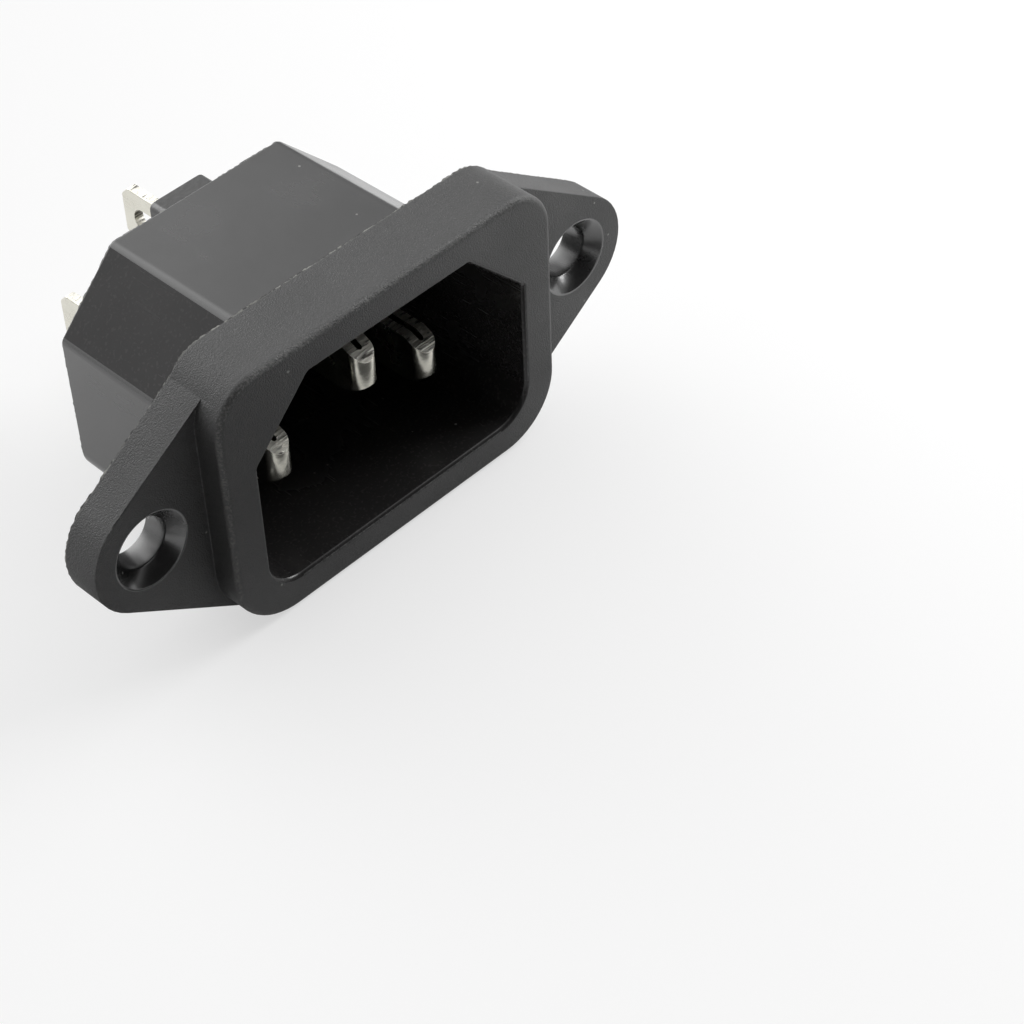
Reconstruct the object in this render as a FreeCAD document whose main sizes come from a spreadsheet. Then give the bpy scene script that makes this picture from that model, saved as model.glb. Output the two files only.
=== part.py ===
import FreeCAD, Part
import Sketcher
import math
import os

# Screw-mounted C14 appliance inlet.
# Frame: millimetres, +X to the right seen from the mating side, +Z towards the earth pin
# and the two bevelled corners, -Y the mating side.  y = 0 is the back of the flange,
# the face that lies on the panel.

doc = FreeCAD.newDocument("c14_panel_inlet")
Vec = FreeCAD.Vector

# ---------------------------------------------------------------- driving dimensions
SIZES = [
    # alias, value (mm or degrees)
    # recess that takes the connector
    ("recess_width", 24.7),
    ("recess_height", 16.6),
    ("recess_bevel", 5.0),
    ("recess_depth", 16.8),
    ("recess_low_radius", 2.7),
    ("recess_edge_radius", 0.6),
    ("recess_draft", 0.6),
    ("mouth_chamfer", 0.25),
    # walls of the barrel round it
    ("side_wall", 0.9),
    ("top_wall", 0.85),
    ("bevel_wall", 0.88),
    ("floor_thick", 2.4),
    ("barrel_edge_radius", 1.0),
    ("barrel_low_radius", 2.5),
    ("barrel_draft", 0.9),
    # collar in front of the panel
    ("collar_side_rim", 2.95),
    ("collar_top_rim", 2.65),
    ("collar_front", 5.3),
    ("collar_top_radius", 3.8),
    ("collar_low_radius", 5.0),
    ("collar_edge_radius", 0.5),
    # ears and their screw holes
    ("screw_set", 4.7),
    ("screw_hole_dia", 3.9),
    ("screw_sink_dia", 5.9),
    ("ear_radius", 4.7),
    ("ear_slope", 34.5),
    ("ear_thick", 3.0),
    ("ear_rim", 1.1),
    ("ear_core_depth", 2.0),
    ("ear_core_roof", 0.4),
    ("ear_shelf_width", 0.9),
    ("ear_shelf_depth", 0.4),
    # terminal blocks
    ("block_width", 4.6),
    ("block_reach", 2.3),
    ("block_height", 10.2),
    ("block_inset", 0.8),
    ("earth_block_width", 5.0),
    ("earth_block_height", 10.2),
    ("earth_block_inset", 1.2),
    ("block_edge_radius", 0.5),
    # folded contacts
    ("pin_pitch", 14.0),
    ("line_level", 2.45),
    ("earth_level", 2.05),
    ("pin_width", 2.0),
    ("pin_height", 4.0),
    ("pin_fit", 0.03),
    ("strip_thick", 0.8),
    ("line_nose_set", 4.0),
    ("earth_nose_set", 2.5),
    ("nose_bevel_rise", 0.8),
    ("nose_bevel_run", 1.65),
    ("shoulder_height", 5.7),
    ("shoulder_length", 1.4),
    ("tab_height", 4.7),
    ("tab_length", 6.6),
    ("earth_tab_length", 6.95),
    ("tab_drop", 0.8),
    ("earth_tab_rise", 0.2),
    ("tab_corner", 0.75),
    ("tab_eye_length", 3.5),
    ("tab_eye_height", 2.05),
    ("tab_eye_set", 2.95),
    ("short_leaf_reach", 1.0),
]
WORKED_OUT = [
    # alias, formula from the sizes above
    ("barrel_width", "=recess_width + 2 * side_wall"),
    ("barrel_height", "=recess_height + 2 * top_wall"),
    ("barrel_bevel", "=recess_bevel + side_wall + top_wall - sqrt(2) * bevel_wall"),
    ("barrel_depth", "=recess_depth + floor_thick - collar_front"),
    ("collar_width", "=recess_width + 2 * collar_side_rim"),
    ("collar_height", "=recess_height + 2 * collar_top_rim"),
    ("screw_pitch", "=collar_width + 2 * screw_set"),
]
sheet = doc.addObject("Spreadsheet::Sheet", "Sizes")
for row, (alias, value) in enumerate(SIZES + WORKED_OUT, 1):
    sheet.set("A%d" % row, alias)
    sheet.set("B%d" % row, str(value))
    sheet.setAlias("B%d" % row, alias)
doc.recompute()


def size(alias):
    """Value of one driving dimension, for places that have to find an edge."""
    return float(sheet.get(alias))


def cells(text):
    """Turn bare size names in an expression into references to the sheet."""
    names = sorted((a for a, _ in SIZES + WORKED_OUT), key=len, reverse=True)
    out = ""
    i = 0
    while i < len(text):
        for name in names:
            if text.startswith(name, i) and (i == 0 or not (text[i - 1].isalnum() or text[i - 1] == "_")):
                out += "Sizes." + name
                i += len(name)
                break
        else:
            out += text[i]
            i += 1
    return out


# ---------------------------------------------------------------- sketch helpers
def new_sketch(body, label, plane, lift=None):
    """Sketch on one of the body's own origin planes, lifted along its normal."""
    sk = doc.addObject("Sketcher::SketchObject", label)
    body.addObject(sk)
    base = [o for o in body.Origin.OriginFeatures if o.Role == plane][0]
    sk.AttachmentSupport = [(base, "")]
    sk.MapMode = "FlatFace"
    if lift:
        sk.setExpression("AttachmentOffset.Base.z", cells(lift))
    return sk


def pin_down(sk, geo, pos, axis, text, name):
    """Hold one coordinate of a point at a signed expression measured from the origin."""
    kind = "DistanceX" if axis == 0 else "DistanceY"
    if text == "0":
        sk.addConstraint(Sketcher.Constraint("PointOnObject", geo, pos, -2 if axis == 0 else -1))
        return
    if text.startswith("-"):
        text = text[1:]
        n = sk.addConstraint(Sketcher.Constraint(kind, geo, pos, -1, 1, number(text)))
    else:
        n = sk.addConstraint(Sketcher.Constraint(kind, -1, 1, geo, pos, number(text)))
    sk.renameConstraint(n, name)
    sk.setExpression("Constraints." + name, cells(text))


def number(text):
    """First position for a point: the same expression worked out from the sheet."""
    value = doc.getObject("Sizes").evalExpression(cells(text))
    return float(getattr(value, "Value", value))


def polygon(sk, corners, tag):
    """Closed polygon whose corners are pairs of signed expressions."""
    pts = [Vec(number(x), number(z), 0) for x, z in corners]
    first = sk.GeometryCount
    n = len(pts)
    for i in range(n):
        sk.addGeometry(Part.LineSegment(pts[i], pts[(i + 1) % n]))
    for i in range(n):
        sk.addConstraint(Sketcher.Constraint("Coincident", first + i, 2, first + (i + 1) % n, 1))
    for i, (x, z) in enumerate(corners):
        pin_down(sk, first + i, 1, 0, x, "%s_x%d" % (tag, i))
        pin_down(sk, first + i, 1, 1, z, "%s_y%d" % (tag, i))


def pad(body, label, sk, length, back=False, draft=None, midplane=False):
    feat = doc.addObject("PartDesign::Pad", label)
    body.addObject(feat)
    feat.Profile = sk
    feat.setExpression("Length", cells(length))
    feat.Reversed = back
    feat.Midplane = midplane
    if draft:
        feat.setExpression("TaperAngle", cells(draft))
    sk.Visibility = False
    doc.recompute()
    if "Invalid" in feat.State:
        raise RuntimeError(label + " failed")
    return feat


def pocket(body, label, sk, length, back=False, draft=None, through=False, midplane=False):
    """Pocket that has to remove material: the volume is compared."""
    before = body.Shape.Volume
    feat = doc.addObject("PartDesign::Pocket", label)
    body.addObject(feat)
    feat.Profile = sk
    feat.Reversed = back
    feat.Midplane = midplane
    if through:
        feat.Type = "ThroughAll"
    else:
        feat.setExpression("Length", cells(length))
    if draft:
        feat.setExpression("TaperAngle", cells(draft))
    sk.Visibility = False
    doc.recompute()
    if not body.Shape.Volume < before - 1e-6:
        raise RuntimeError(label + " removed nothing")
    return feat


def edges_where(shape, test):
    return ["Edge%d" % (i + 1) for i, e in enumerate(shape.Edges) if test(e)]


def dress(body, kind, label, names, value):
    """Fillet or chamfer on the named edges of the present tip."""
    if not names:
        raise RuntimeError(label + " found no edge")
    tip = body.Tip
    feat = doc.addObject("PartDesign::" + kind, label)
    body.addObject(feat)
    feat.Base = (tip, names)
    feat.setExpression("Radius" if kind == "Fillet" else "Size", cells(value))
    doc.recompute()
    if "Invalid" in feat.State:
        raise RuntimeError("%s failed on %s" % (label, names))
    return feat


def runs_along_y(e):
    """Nearly parallel to the Y axis and straight."""
    if len(e.Vertexes) != 2:
        return False
    d = e.Vertexes[1].Point - e.Vertexes[0].Point
    return abs(d.y) > 0.97 * d.Length and e.Length - d.Length < 0.001


# ---------------------------------------------------------------- housing
housing = doc.addObject("PartDesign::Body", "housing")
housing.Label = "housing"

# barrel behind the panel face
HALF_W = "barrel_width / 2"
HALF_H = "barrel_height / 2"
sk = new_sketch(housing, "barrel_outline", "XZ_Plane")
polygon(sk, [("-" + HALF_W, "-" + HALF_H), (HALF_W, "-" + HALF_H),
             (HALF_W, HALF_H + " - barrel_bevel"), (HALF_W + " - barrel_bevel", HALF_H),
             ("-(%s - barrel_bevel)" % HALF_W, HALF_H),
             ("-" + HALF_W, HALF_H + " - barrel_bevel")], "barrel")
pad(housing, "barrel", sk, "barrel_depth", back=True, draft="-barrel_draft")
low = edges_where(housing.Shape, lambda e: runs_along_y(e) and e.CenterOfMass.z < -size("recess_height") / 4)
dress(housing, "Fillet", "barrel_low_edges", low, "barrel_low_radius")
high = edges_where(housing.Shape, lambda e: runs_along_y(e) and e.CenterOfMass.z > 0)
dress(housing, "Fillet", "barrel_edges", high, "barrel_edge_radius")

# collar round the mouth, from the panel face forward
H_TOP = "collar_height / 2"
sk = new_sketch(housing, "collar_outline", "XZ_Plane")
polygon(sk, [("-collar_width / 2", "-" + H_TOP), ("collar_width / 2", "-" + H_TOP),
             ("collar_width / 2", H_TOP), ("-collar_width / 2", H_TOP)], "collar")
pad(housing, "collar", sk, "collar_front")
top = edges_where(housing.Shape, lambda e: runs_along_y(e) and e.CenterOfMass.y < 0
                  and e.CenterOfMass.z > 0)
dress(housing, "Fillet", "collar_top_corners", top, "collar_top_radius")
low = edges_where(housing.Shape, lambda e: runs_along_y(e) and e.CenterOfMass.y < 0
                  and e.CenterOfMass.z < -size("collar_height") / 2 + 0.01)
dress(housing, "Fillet", "collar_low_corners", low, "collar_low_radius")

# rim of the collar's front face
front = edges_where(housing.Shape, lambda e: e.BoundBox.YMax < -size("collar_front") + 0.001)
dress(housing, "Fillet", "collar_front_edge", front, "collar_edge_radius")

# lozenge that carries both screw ears
SHOULDER_X = ("screw_pitch / 2 + (ear_radius - collar_height / 2 * cos(ear_slope * 1deg))"
              " / sin(ear_slope * 1deg)")
POINT_X = "screw_pitch / 2 + ear_radius / sin(ear_slope * 1deg)"
sk = new_sketch(housing, "ear_outline", "XZ_Plane")
polygon(sk, [("-(%s)" % SHOULDER_X, "-" + H_TOP), (SHOULDER_X, "-" + H_TOP), (POINT_X, "0"),
             (SHOULDER_X, H_TOP), ("-(%s)" % SHOULDER_X, H_TOP), ("-(%s)" % POINT_X, "0")], "ear")
pad(housing, "ears", sk, "ear_thick")
tips = edges_where(housing.Shape, lambda e: runs_along_y(e)
                   and abs(e.CenterOfMass.x) > size("screw_pitch") / 2 + size("ear_radius"))
dress(housing, "Fillet", "ear_tips", tips, "ear_radius")

# hollow backs of the ears: a shallow shelf beside the barrel, then the deep core


def ear_core(label, gap, depth):
    """Core between the ear's rim, the boss round the screw and the barrel's outline."""
    side = "(barrel_width / 2 + %s)" % gap
    inner = "((screw_pitch / 2 * sin(ear_slope * 1deg) + ear_radius - ear_rim - %s" \
            " * sin(ear_slope * 1deg)) / cos(ear_slope * 1deg))" % side
    bevel_z = "(barrel_height / 2 - barrel_bevel + 0.414 * %s)" % gap
    roof = "(barrel_height / 2 - ear_core_roof)"
    roof_x = "(%s - %s + %s)" % (side, roof, bevel_z)
    meet_x = "(screw_pitch / 2 + (ear_radius - ear_rim) * sin(ear_slope * 1deg)" \
             " - sqrt(ear_radius ^ 2 - (ear_radius - ear_rim) ^ 2) * cos(ear_slope * 1deg))"
    meet_z = "((ear_radius - ear_rim) * cos(ear_slope * 1deg)" \
             " + sqrt(ear_radius ^ 2 - (ear_radius - ear_rim) ^ 2) * sin(ear_slope * 1deg))"
    turn_x = "(screw_pitch / 2 + (ear_radius - ear_rim - %s * cos(ear_slope * 1deg))" \
             " / sin(ear_slope * 1deg))" % roof
    corners = [(meet_x, "-" + meet_z), (side, "-" + inner), (side, bevel_z), (roof_x, roof),
               (turn_x, roof), (meet_x, meet_z)]
    sk = new_sketch(housing, label + "_outline", "XZ_Plane")
    pts = [Vec(number(x), number(z), 0) for x, z in corners]
    for a, b in zip(pts[:-1], pts[1:]):
        sk.addGeometry(Part.LineSegment(a, b))
    centre = Vec(size("screw_pitch") / 2, 0, 0)
    a0 = math.atan2(pts[-1].y, pts[-1].x - centre.x)
    a1 = math.atan2(pts[0].y, pts[0].x - centre.x) + 2 * math.pi
    arc = Part.ArcOfCircle(Part.Circle(centre, Vec(0, 0, 1), size("ear_radius")), a0, a1)
    k = sk.addGeometry(arc)
    for i in range(k - 1):
        sk.addConstraint(Sketcher.Constraint("Coincident", i, 2, i + 1, 1))
    sk.addConstraint(Sketcher.Constraint("Coincident", k - 1, 2, k, 1))
    sk.addConstraint(Sketcher.Constraint("Coincident", 0, 1, k, 2))
    pin_down(sk, k, 3, 0, "screw_pitch / 2", "boss_x")
    pin_down(sk, k, 3, 1, "0", "boss_y")
    pin_down(sk, 0, 1, 0, meet_x, "meet_x0")
    pin_down(sk, 0, 1, 1, "-" + meet_z, "meet_y0")
    for i in range(1, 5):
        pin_down(sk, i, 1, 0, corners[i][0], "core_x%d" % i)
        pin_down(sk, i, 1, 1, corners[i][1], "core_y%d" % i)
    pin_down(sk, k - 1, 2, 0, meet_x, "meet_x1")
    feat = pocket(housing, label, sk, depth, back=True)
    mirror = doc.addObject("PartDesign::Mirrored", label + "_left")
    housing.addObject(mirror)
    mirror.Originals = [feat]
    plane = [o for o in housing.Origin.OriginFeatures if o.Role == "YZ_Plane"][0]
    mirror.MirrorPlane = (plane, [""])
    housing.Tip = mirror
    doc.recompute()


ear_core("ear_shelf", "0", "ear_shelf_depth")
ear_core("ear_core", "ear_shelf_width", "ear_core_depth")

# the recess that takes the connector
HALF_W = "recess_width / 2"
HALF_H = "recess_height / 2"
sk = new_sketch(housing, "recess_outline", "XZ_Plane", "collar_front")
polygon(sk, [("-" + HALF_W, "-" + HALF_H), (HALF_W, "-" + HALF_H),
             (HALF_W, HALF_H + " - recess_bevel"), (HALF_W + " - recess_bevel", HALF_H),
             ("-(%s - recess_bevel)" % HALF_W, HALF_H),
             ("-" + HALF_W, HALF_H + " - recess_bevel")], "recess")
pocket(housing, "recess", sk, "recess_depth", draft="-recess_draft")


def in_recess(e):
    c = e.CenterOfMass
    return (runs_along_y(e) and abs(c.x) < size("recess_width") / 2 + 0.01
            and abs(c.z) < size("recess_height") / 2 + 0.01 and e.Length > 0.8 * size("recess_depth"))


low = edges_where(housing.Shape, lambda e: in_recess(e) and e.CenterOfMass.z < -size("recess_height") / 4)
dress(housing, "Fillet", "recess_low_corners", low, "recess_low_radius")
top = edges_where(housing.Shape, lambda e: in_recess(e) and e.CenterOfMass.z > 0)
dress(housing, "Fillet", "recess_bevel_corners", top, "recess_edge_radius")
mouth = edges_where(housing.Shape, lambda e: e.BoundBox.YMax < -size("collar_front") + 0.001
                    and e.BoundBox.XMin > -size("recess_width") / 2 - 0.01
                    and e.BoundBox.XMax < size("recess_width") / 2 + 0.01
                    and e.BoundBox.ZMin > -size("recess_height") / 2 - 0.01
                    and e.BoundBox.ZMax < size("recess_height") / 2 + 0.01)
dress(housing, "Chamfer", "mouth_lead_in", mouth, "mouth_chamfer")

# terminal blocks behind the barrel, one round each contact
PINS = [
    # node, sign of x, level, nose behind the collar's front, tab below the pin, tab length
    ("line_pin", "-", "-line_level", "line_nose_set", "tab_drop", "tab_length"),
    ("neutral_pin", "", "-line_level", "line_nose_set", "tab_drop", "tab_length"),
    ("earth_pin", None, "earth_level", "earth_nose_set", "(0 - earth_tab_rise)", "earth_tab_length"),
]
sk = new_sketch(housing, "block_outlines", "XZ_Plane", "-barrel_depth")
for tag, side in (("line", -1), ("neutral", 1)):
    if side < 0:
        xa, xb = "-(pin_pitch / 2 + block_width / 2)", "-(pin_pitch / 2 - block_width / 2)"
    else:
        xa, xb = "(pin_pitch / 2 - block_width / 2)", "(pin_pitch / 2 + block_width / 2)"
    za = "-(barrel_height / 2 - block_inset)"
    zb = "(block_height + block_inset - barrel_height / 2)"
    polygon(sk, [(xa, za), (xb, za), (xb, zb), (xa, zb)], tag)
za = "(barrel_height / 2 - earth_block_inset - earth_block_height)"
zb = "(barrel_height / 2 - earth_block_inset)"
polygon(sk, [("-earth_block_width / 2", za), ("earth_block_width / 2", za),
             ("earth_block_width / 2", zb), ("-earth_block_width / 2", zb)], "earth")
pad(housing, "terminal_blocks", sk, "block_reach", back=True)
posts = edges_where(housing.Shape, lambda e: runs_along_y(e)
                    and e.CenterOfMass.y > size("barrel_depth") + 0.1)
dress(housing, "Fillet", "block_corners", posts, "block_edge_radius")

# slots through floor and blocks for the folded contacts
sk = new_sketch(housing, "pin_slots_outline", "XZ_Plane", "-(barrel_depth + block_reach)")
HALF = "(pin_width / 2 + pin_fit)"
TALL = "(pin_height / 2 + pin_fit)"
for tag, side in (("line", -1), ("neutral", 1)):
    if side < 0:
        xa, xb = "-(pin_pitch / 2 + %s)" % HALF, "-(pin_pitch / 2 - %s)" % HALF
    else:
        xa, xb = "(pin_pitch / 2 - %s)" % HALF, "(pin_pitch / 2 + %s)" % HALF
    za, zb = "-(line_level + %s)" % TALL, "-(line_level - %s)" % TALL
    polygon(sk, [(xa, za), (xb, za), (xb, zb), (xa, zb)], tag)
polygon(sk, [("-" + HALF, "(earth_level - %s)" % TALL), (HALF, "(earth_level - %s)" % TALL),
             (HALF, "(earth_level + %s)" % TALL), ("-" + HALF, "(earth_level + %s)" % TALL)], "earth")
pocket(housing, "pin_slots", sk, "block_reach + barrel_depth + collar_front - recess_depth + 1",
       back=True)

# countersunk screw holes through the ears
sk = new_sketch(housing, "screw_centres", "XZ_Plane", "ear_thick")
for i, side in enumerate(("-", "")):
    sk.addGeometry(Part.Circle(Vec(number(side + "screw_pitch / 2"), 0, 0), Vec(0, 0, 1), 1.8))
    pin_down(sk, i, 3, 0, side + "screw_pitch / 2", "screw_x%d" % i)
    pin_down(sk, i, 3, 1, "0", "screw_y%d" % i)
    n = sk.addConstraint(Sketcher.Constraint("Diameter", i, 3.6))
    sk.renameConstraint(n, "screw_d%d" % i)
    sk.setExpression("Constraints.screw_d%d" % i, cells("screw_hole_dia"))
doc.recompute()
before = housing.Shape.Volume
holes = doc.addObject("PartDesign::Hole", "screw_holes")
housing.addObject(holes)
holes.Profile = sk
doc.recompute()
holes.DepthType = "ThroughAll"
holes.ThreadType = "None"
holes.setExpression("Diameter", cells("screw_hole_dia"))
holes.HoleCutType = "Countersink"
holes.setExpression("HoleCutDiameter", cells("screw_sink_dia"))
holes.HoleCutCountersinkAngle = 90.0
sk.Visibility = False
doc.recompute()
if not housing.Shape.Volume < before - 1:
    raise RuntimeError("screw holes removed nothing")

# ---------------------------------------------------------------- folded contacts


def contact(label, x_at, level, nose_set, drop, reach):
    """One strip folded at the nose: a long leaf that ends as solder tab, a short leaf beside it."""
    body = doc.addObject("PartDesign::Body", label)
    body.Label = label
    nose_y = "-(collar_front - %s)" % nose_set
    rear = "(barrel_depth + block_reach)"
    half = "pin_width / 2"
    inner = "(pin_width / 2 - strip_thick)"

    # folded shape seen from above
    sk = new_sketch(body, label + "_fold", "XY_Plane")
    turn = "-(collar_front - %s - pin_width / 2)" % nose_set
    turn_y = number(turn)
    far_long = "(barrel_depth + block_reach)"
    far_short = "(barrel_depth + block_reach + short_leaf_reach)"
    r_out = number(half)
    r_in = number(inner)
    y_long = number(far_long)
    y_short = number(far_short)
    P = [Vec(r_out, turn_y, 0), Vec(r_out, y_long, 0), Vec(r_in, y_long, 0), Vec(r_in, turn_y, 0),
         Vec(-r_in, turn_y, 0), Vec(-r_in, y_short, 0), Vec(-r_out, y_short, 0), Vec(-r_out, turn_y, 0)]
    mid = Vec(0, turn_y, 0)
    up = Vec(0, 0, 1)
    for a, b in ((0, 1), (1, 2), (2, 3)):
        sk.addGeometry(Part.LineSegment(P[a], P[b]))
    sk.addGeometry(Part.ArcOfCircle(Part.Circle(mid, up, r_in), math.pi, 2 * math.pi))
    for a, b in ((4, 5), (5, 6), (6, 7)):
        sk.addGeometry(Part.LineSegment(P[a], P[b]))
    sk.addGeometry(Part.ArcOfCircle(Part.Circle(mid, up, r_out), math.pi, 2 * math.pi))
    C = Sketcher.Constraint
    for g, p, q, r in ((0, 2, 1, 1), (1, 2, 2, 1), (2, 2, 3, 2), (3, 1, 4, 1), (4, 2, 5, 1),
                       (5, 2, 6, 1), (6, 2, 7, 1), (7, 2, 0, 1)):
        sk.addConstraint(C("Coincident", g, p, q, r))
    sk.addConstraint(C("Coincident", 3, 3, 7, 3))
    pin_down(sk, 7, 3, 0, "0", "fold_x")
    pin_down(sk, 7, 3, 1, turn, "fold_y")
    pin_down(sk, 0, 1, 0, half, "leaf_x0")
    pin_down(sk, 0, 1, 1, turn, "leaf_y0")
    pin_down(sk, 0, 2, 0, half, "leaf_x1")
    pin_down(sk, 0, 2, 1, far_long, "leaf_y1")
    pin_down(sk, 1, 2, 0, inner, "leaf_x2")
    pin_down(sk, 1, 2, 1, far_long, "leaf_y2")
    pin_down(sk, 2, 2, 0, inner, "leaf_x3")
    pin_down(sk, 2, 2, 1, turn, "leaf_y3")
    pin_down(sk, 4, 2, 0, "-" + inner, "leaf_x5")
    pin_down(sk, 4, 2, 1, far_short, "leaf_y5")
    pin_down(sk, 5, 2, 0, "-" + half, "leaf_x6")
    pin_down(sk, 5, 2, 1, far_short, "leaf_y6")
    sk.addConstraint(C("Horizontal", 3, 1, 3, 3))
    sk.addConstraint(C("Horizontal", 7, 1, 7, 3))
    pad(body, label + "_strip", sk, "pin_height", midplane=True)

    # bevelled corners beside the nose
    sk = new_sketch(body, label + "_nose", "YZ_Plane")
    tip = "-(collar_front - %s + 1)" % nose_set
    run = "-(collar_front - %s - nose_bevel_run)" % nose_set
    brow = "(pin_height / 2 - nose_bevel_rise - nose_bevel_rise / nose_bevel_run)"
    tall = "(pin_height / 2 + 0.5)"
    polygon(sk, [(tip, brow), (run, "pin_height / 2"), (run, tall), (tip, tall)], "upper")
    polygon(sk, [(tip, "-" + brow), (run, "-pin_height / 2"), (run, "-" + tall),
                 (tip, "-" + tall)], "lower")
    pocket(body, label + "_nose_bevels", sk, None, through=True, midplane=True)

    # shoulder and solder tab in the plane of the long leaf
    sk = new_sketch(body, label + "_tab_outline", "YZ_Plane", inner)
    y0 = rear
    y1 = "(%s + shoulder_length)" % rear
    y2 = "(%s + %s - tab_corner)" % (rear, reach)
    y3 = "(%s + %s)" % (rear, reach)
    low = ["-(%s / 2 + %s)" % (v, drop) for v in ("shoulder_height", "tab_height")]
    high = ["(%s / 2 - %s)" % (v, drop) for v in ("shoulder_height", "tab_height")]
    low_c = "-(tab_height / 2 - tab_corner + %s)" % drop
    high_c = "(tab_height / 2 - tab_corner - %s)" % drop
    polygon(sk, [(y0, low[0]), (y1, low[0]), (y1, low[1]), (y2, low[1]), (y3, low_c),
                 (y3, high_c), (y2, high[1]), (y1, high[1]), (y1, high[0]), (y0, high[0])], "tab")
    pad(body, label + "_tab", sk, "strip_thick")

    # long eye for the wire
    sk = new_sketch(body, label + "_eye_outline", "YZ_Plane", inner)
    ya = "(%s + %s - tab_eye_set - tab_eye_length / 2 + tab_eye_height / 2)" % (rear, reach)
    yb = "(%s + %s - tab_eye_set + tab_eye_length / 2 - tab_eye_height / 2)" % (rear, reach)
    eye_low = "-(tab_eye_height / 2 + %s)" % drop
    eye_high = "(tab_eye_height / 2 - %s)" % drop
    r = size("tab_eye_height") / 2
    ca = Vec(number(ya), -number(drop), 0)
    cb = Vec(number(yb), -number(drop), 0)
    sk.addGeometry(Part.LineSegment(ca - Vec(0, r, 0), cb - Vec(0, r, 0)))
    sk.addGeometry(Part.ArcOfCircle(Part.Circle(cb, up, r), -math.pi / 2, math.pi / 2))
    sk.addGeometry(Part.LineSegment(cb + Vec(0, r, 0), ca + Vec(0, r, 0)))
    sk.addGeometry(Part.ArcOfCircle(Part.Circle(ca, up, r), math.pi / 2, 3 * math.pi / 2))
    for g, p, q, r in ((0, 2, 1, 1), (1, 2, 2, 1), (2, 2, 3, 1), (3, 2, 0, 1)):
        sk.addConstraint(C("Coincident", g, p, q, r))
    for g, p, x, z, tag in ((0, 1, ya, eye_low, "a"), (0, 2, yb, eye_low, "b"),
                            (2, 1, yb, eye_high, "c"), (2, 2, ya, eye_high, "d")):
        pin_down(sk, g, p, 0, x, "eye_x_" + tag)
        pin_down(sk, g, p, 1, z, "eye_y_" + tag)
    pin_down(sk, 1, 3, 0, yb, "eye_far")
    pin_down(sk, 3, 3, 0, ya, "eye_near")
    pocket(body, label + "_eye", sk, "strip_thick", back=True)

    # place the contact in the housing
    if x_at is not None:
        body.setExpression("Placement.Base.x", cells(x_at + "pin_pitch / 2"))
    body.setExpression("Placement.Base.z", cells(level))
    doc.recompute()
    return body


bodies = [housing]
for pin in PINS:
    bodies.append(contact(*pin))
doc.recompute()

# ---------------------------------------------------------------- checks and files
for obj in doc.Objects:
    if "Invalid" in obj.State or "Error" in obj.State:
        raise RuntimeError("%s: %s" % (obj.Name, obj.State))
for sk in [o for o in doc.Objects if o.TypeId == "Sketcher::SketchObject"]:
    if sk.solve() != 0:
        raise RuntimeError(sk.Name + " does not solve")

os.makedirs("parts", exist_ok=True)
for body in bodies:
    shape = body.Shape
    if shape.isNull() or not shape.isValid() or len(shape.Solids) != 1:
        raise RuntimeError("%s: bad shape, %d solids" % (body.Label, len(shape.Solids)))
    box = shape.optimalBoundingBox()
    print("%-12s volume %.1f mm3  x %.2f..%.2f  y %.2f..%.2f  z %.2f..%.2f" % (
        body.Label, shape.Volume, box.XMin, box.XMax, box.YMin, box.YMax, box.ZMin, box.ZMax))
    shape.exportStep("parts/%s.step" % body.Label)
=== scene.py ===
# %% [markdown]
# # A screw-mounted power inlet
#
# This lesson dresses a small panel inlet: one black moulding with a deep recess, two ears
# with sunk screw holes, and three contacts folded from plated strip.
#
# The plain solids come first. They are loaded as a fixed frame, so every length below is in
# the same place as in the part, and the finished pieces only have to look better.

# %% Load the plain solids
import math

import bmesh
import bpy
from mathutils import Matrix, Vector, geometry, noise


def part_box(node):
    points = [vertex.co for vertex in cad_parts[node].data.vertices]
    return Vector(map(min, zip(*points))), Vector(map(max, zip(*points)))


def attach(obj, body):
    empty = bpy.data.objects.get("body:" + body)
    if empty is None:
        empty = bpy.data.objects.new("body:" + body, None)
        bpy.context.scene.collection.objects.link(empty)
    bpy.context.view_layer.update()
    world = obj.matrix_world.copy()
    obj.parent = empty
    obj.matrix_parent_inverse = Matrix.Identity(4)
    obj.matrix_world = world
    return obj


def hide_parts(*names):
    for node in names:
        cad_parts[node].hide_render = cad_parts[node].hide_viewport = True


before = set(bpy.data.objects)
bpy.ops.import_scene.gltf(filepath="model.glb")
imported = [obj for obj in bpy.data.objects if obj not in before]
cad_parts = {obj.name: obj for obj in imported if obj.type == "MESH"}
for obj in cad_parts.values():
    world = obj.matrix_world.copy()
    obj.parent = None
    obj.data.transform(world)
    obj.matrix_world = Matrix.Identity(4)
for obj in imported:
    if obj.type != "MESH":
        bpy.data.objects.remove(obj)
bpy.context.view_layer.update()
print("nodes:", sorted(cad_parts))

# %% [markdown]
# ## Sizes
#
# A moulding like this is drawn in millimetres, and Blender works in metres. One way is to
# scale everything at the end, but then bevels and textures are judged at the wrong size.
# Here each value is written in millimetres and each point is turned into metres once, in the
# function that makes vertices. Sizes that the solids can tell are read from them, and the
# others stand in the cell that first needs them.

# %% Millimetres, and sizes read from the solids
MM = 0.001


def span(node, axis):
    """Lowest and highest value of one node along x, y or z, in millimetres."""
    low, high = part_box(node)
    return low["xyz".index(axis)] / MM, high["xyz".index(axis)] / MM


EAR_TIP = span("housing", "x")[1]
COLLAR_FRONT, BLOCK_BACK = span("housing", "y")
COLLAR_TOP = span("housing", "z")[1]
print("ear tip %.2f, collar front %.2f, block back %.2f, collar top %.2f"
      % (EAR_TIP, COLLAR_FRONT, BLOCK_BACK, COLLAR_TOP))

# %% [markdown]
# ## The camera
#
# The lens is a short telephoto, which keeps the two ears nearly the same size. A camera can
# be aimed with a Track To constraint, but that always keeps the horizon level. This view is
# rolled by a couple of degrees, so its three axes are worked out and written as a matrix.

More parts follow.
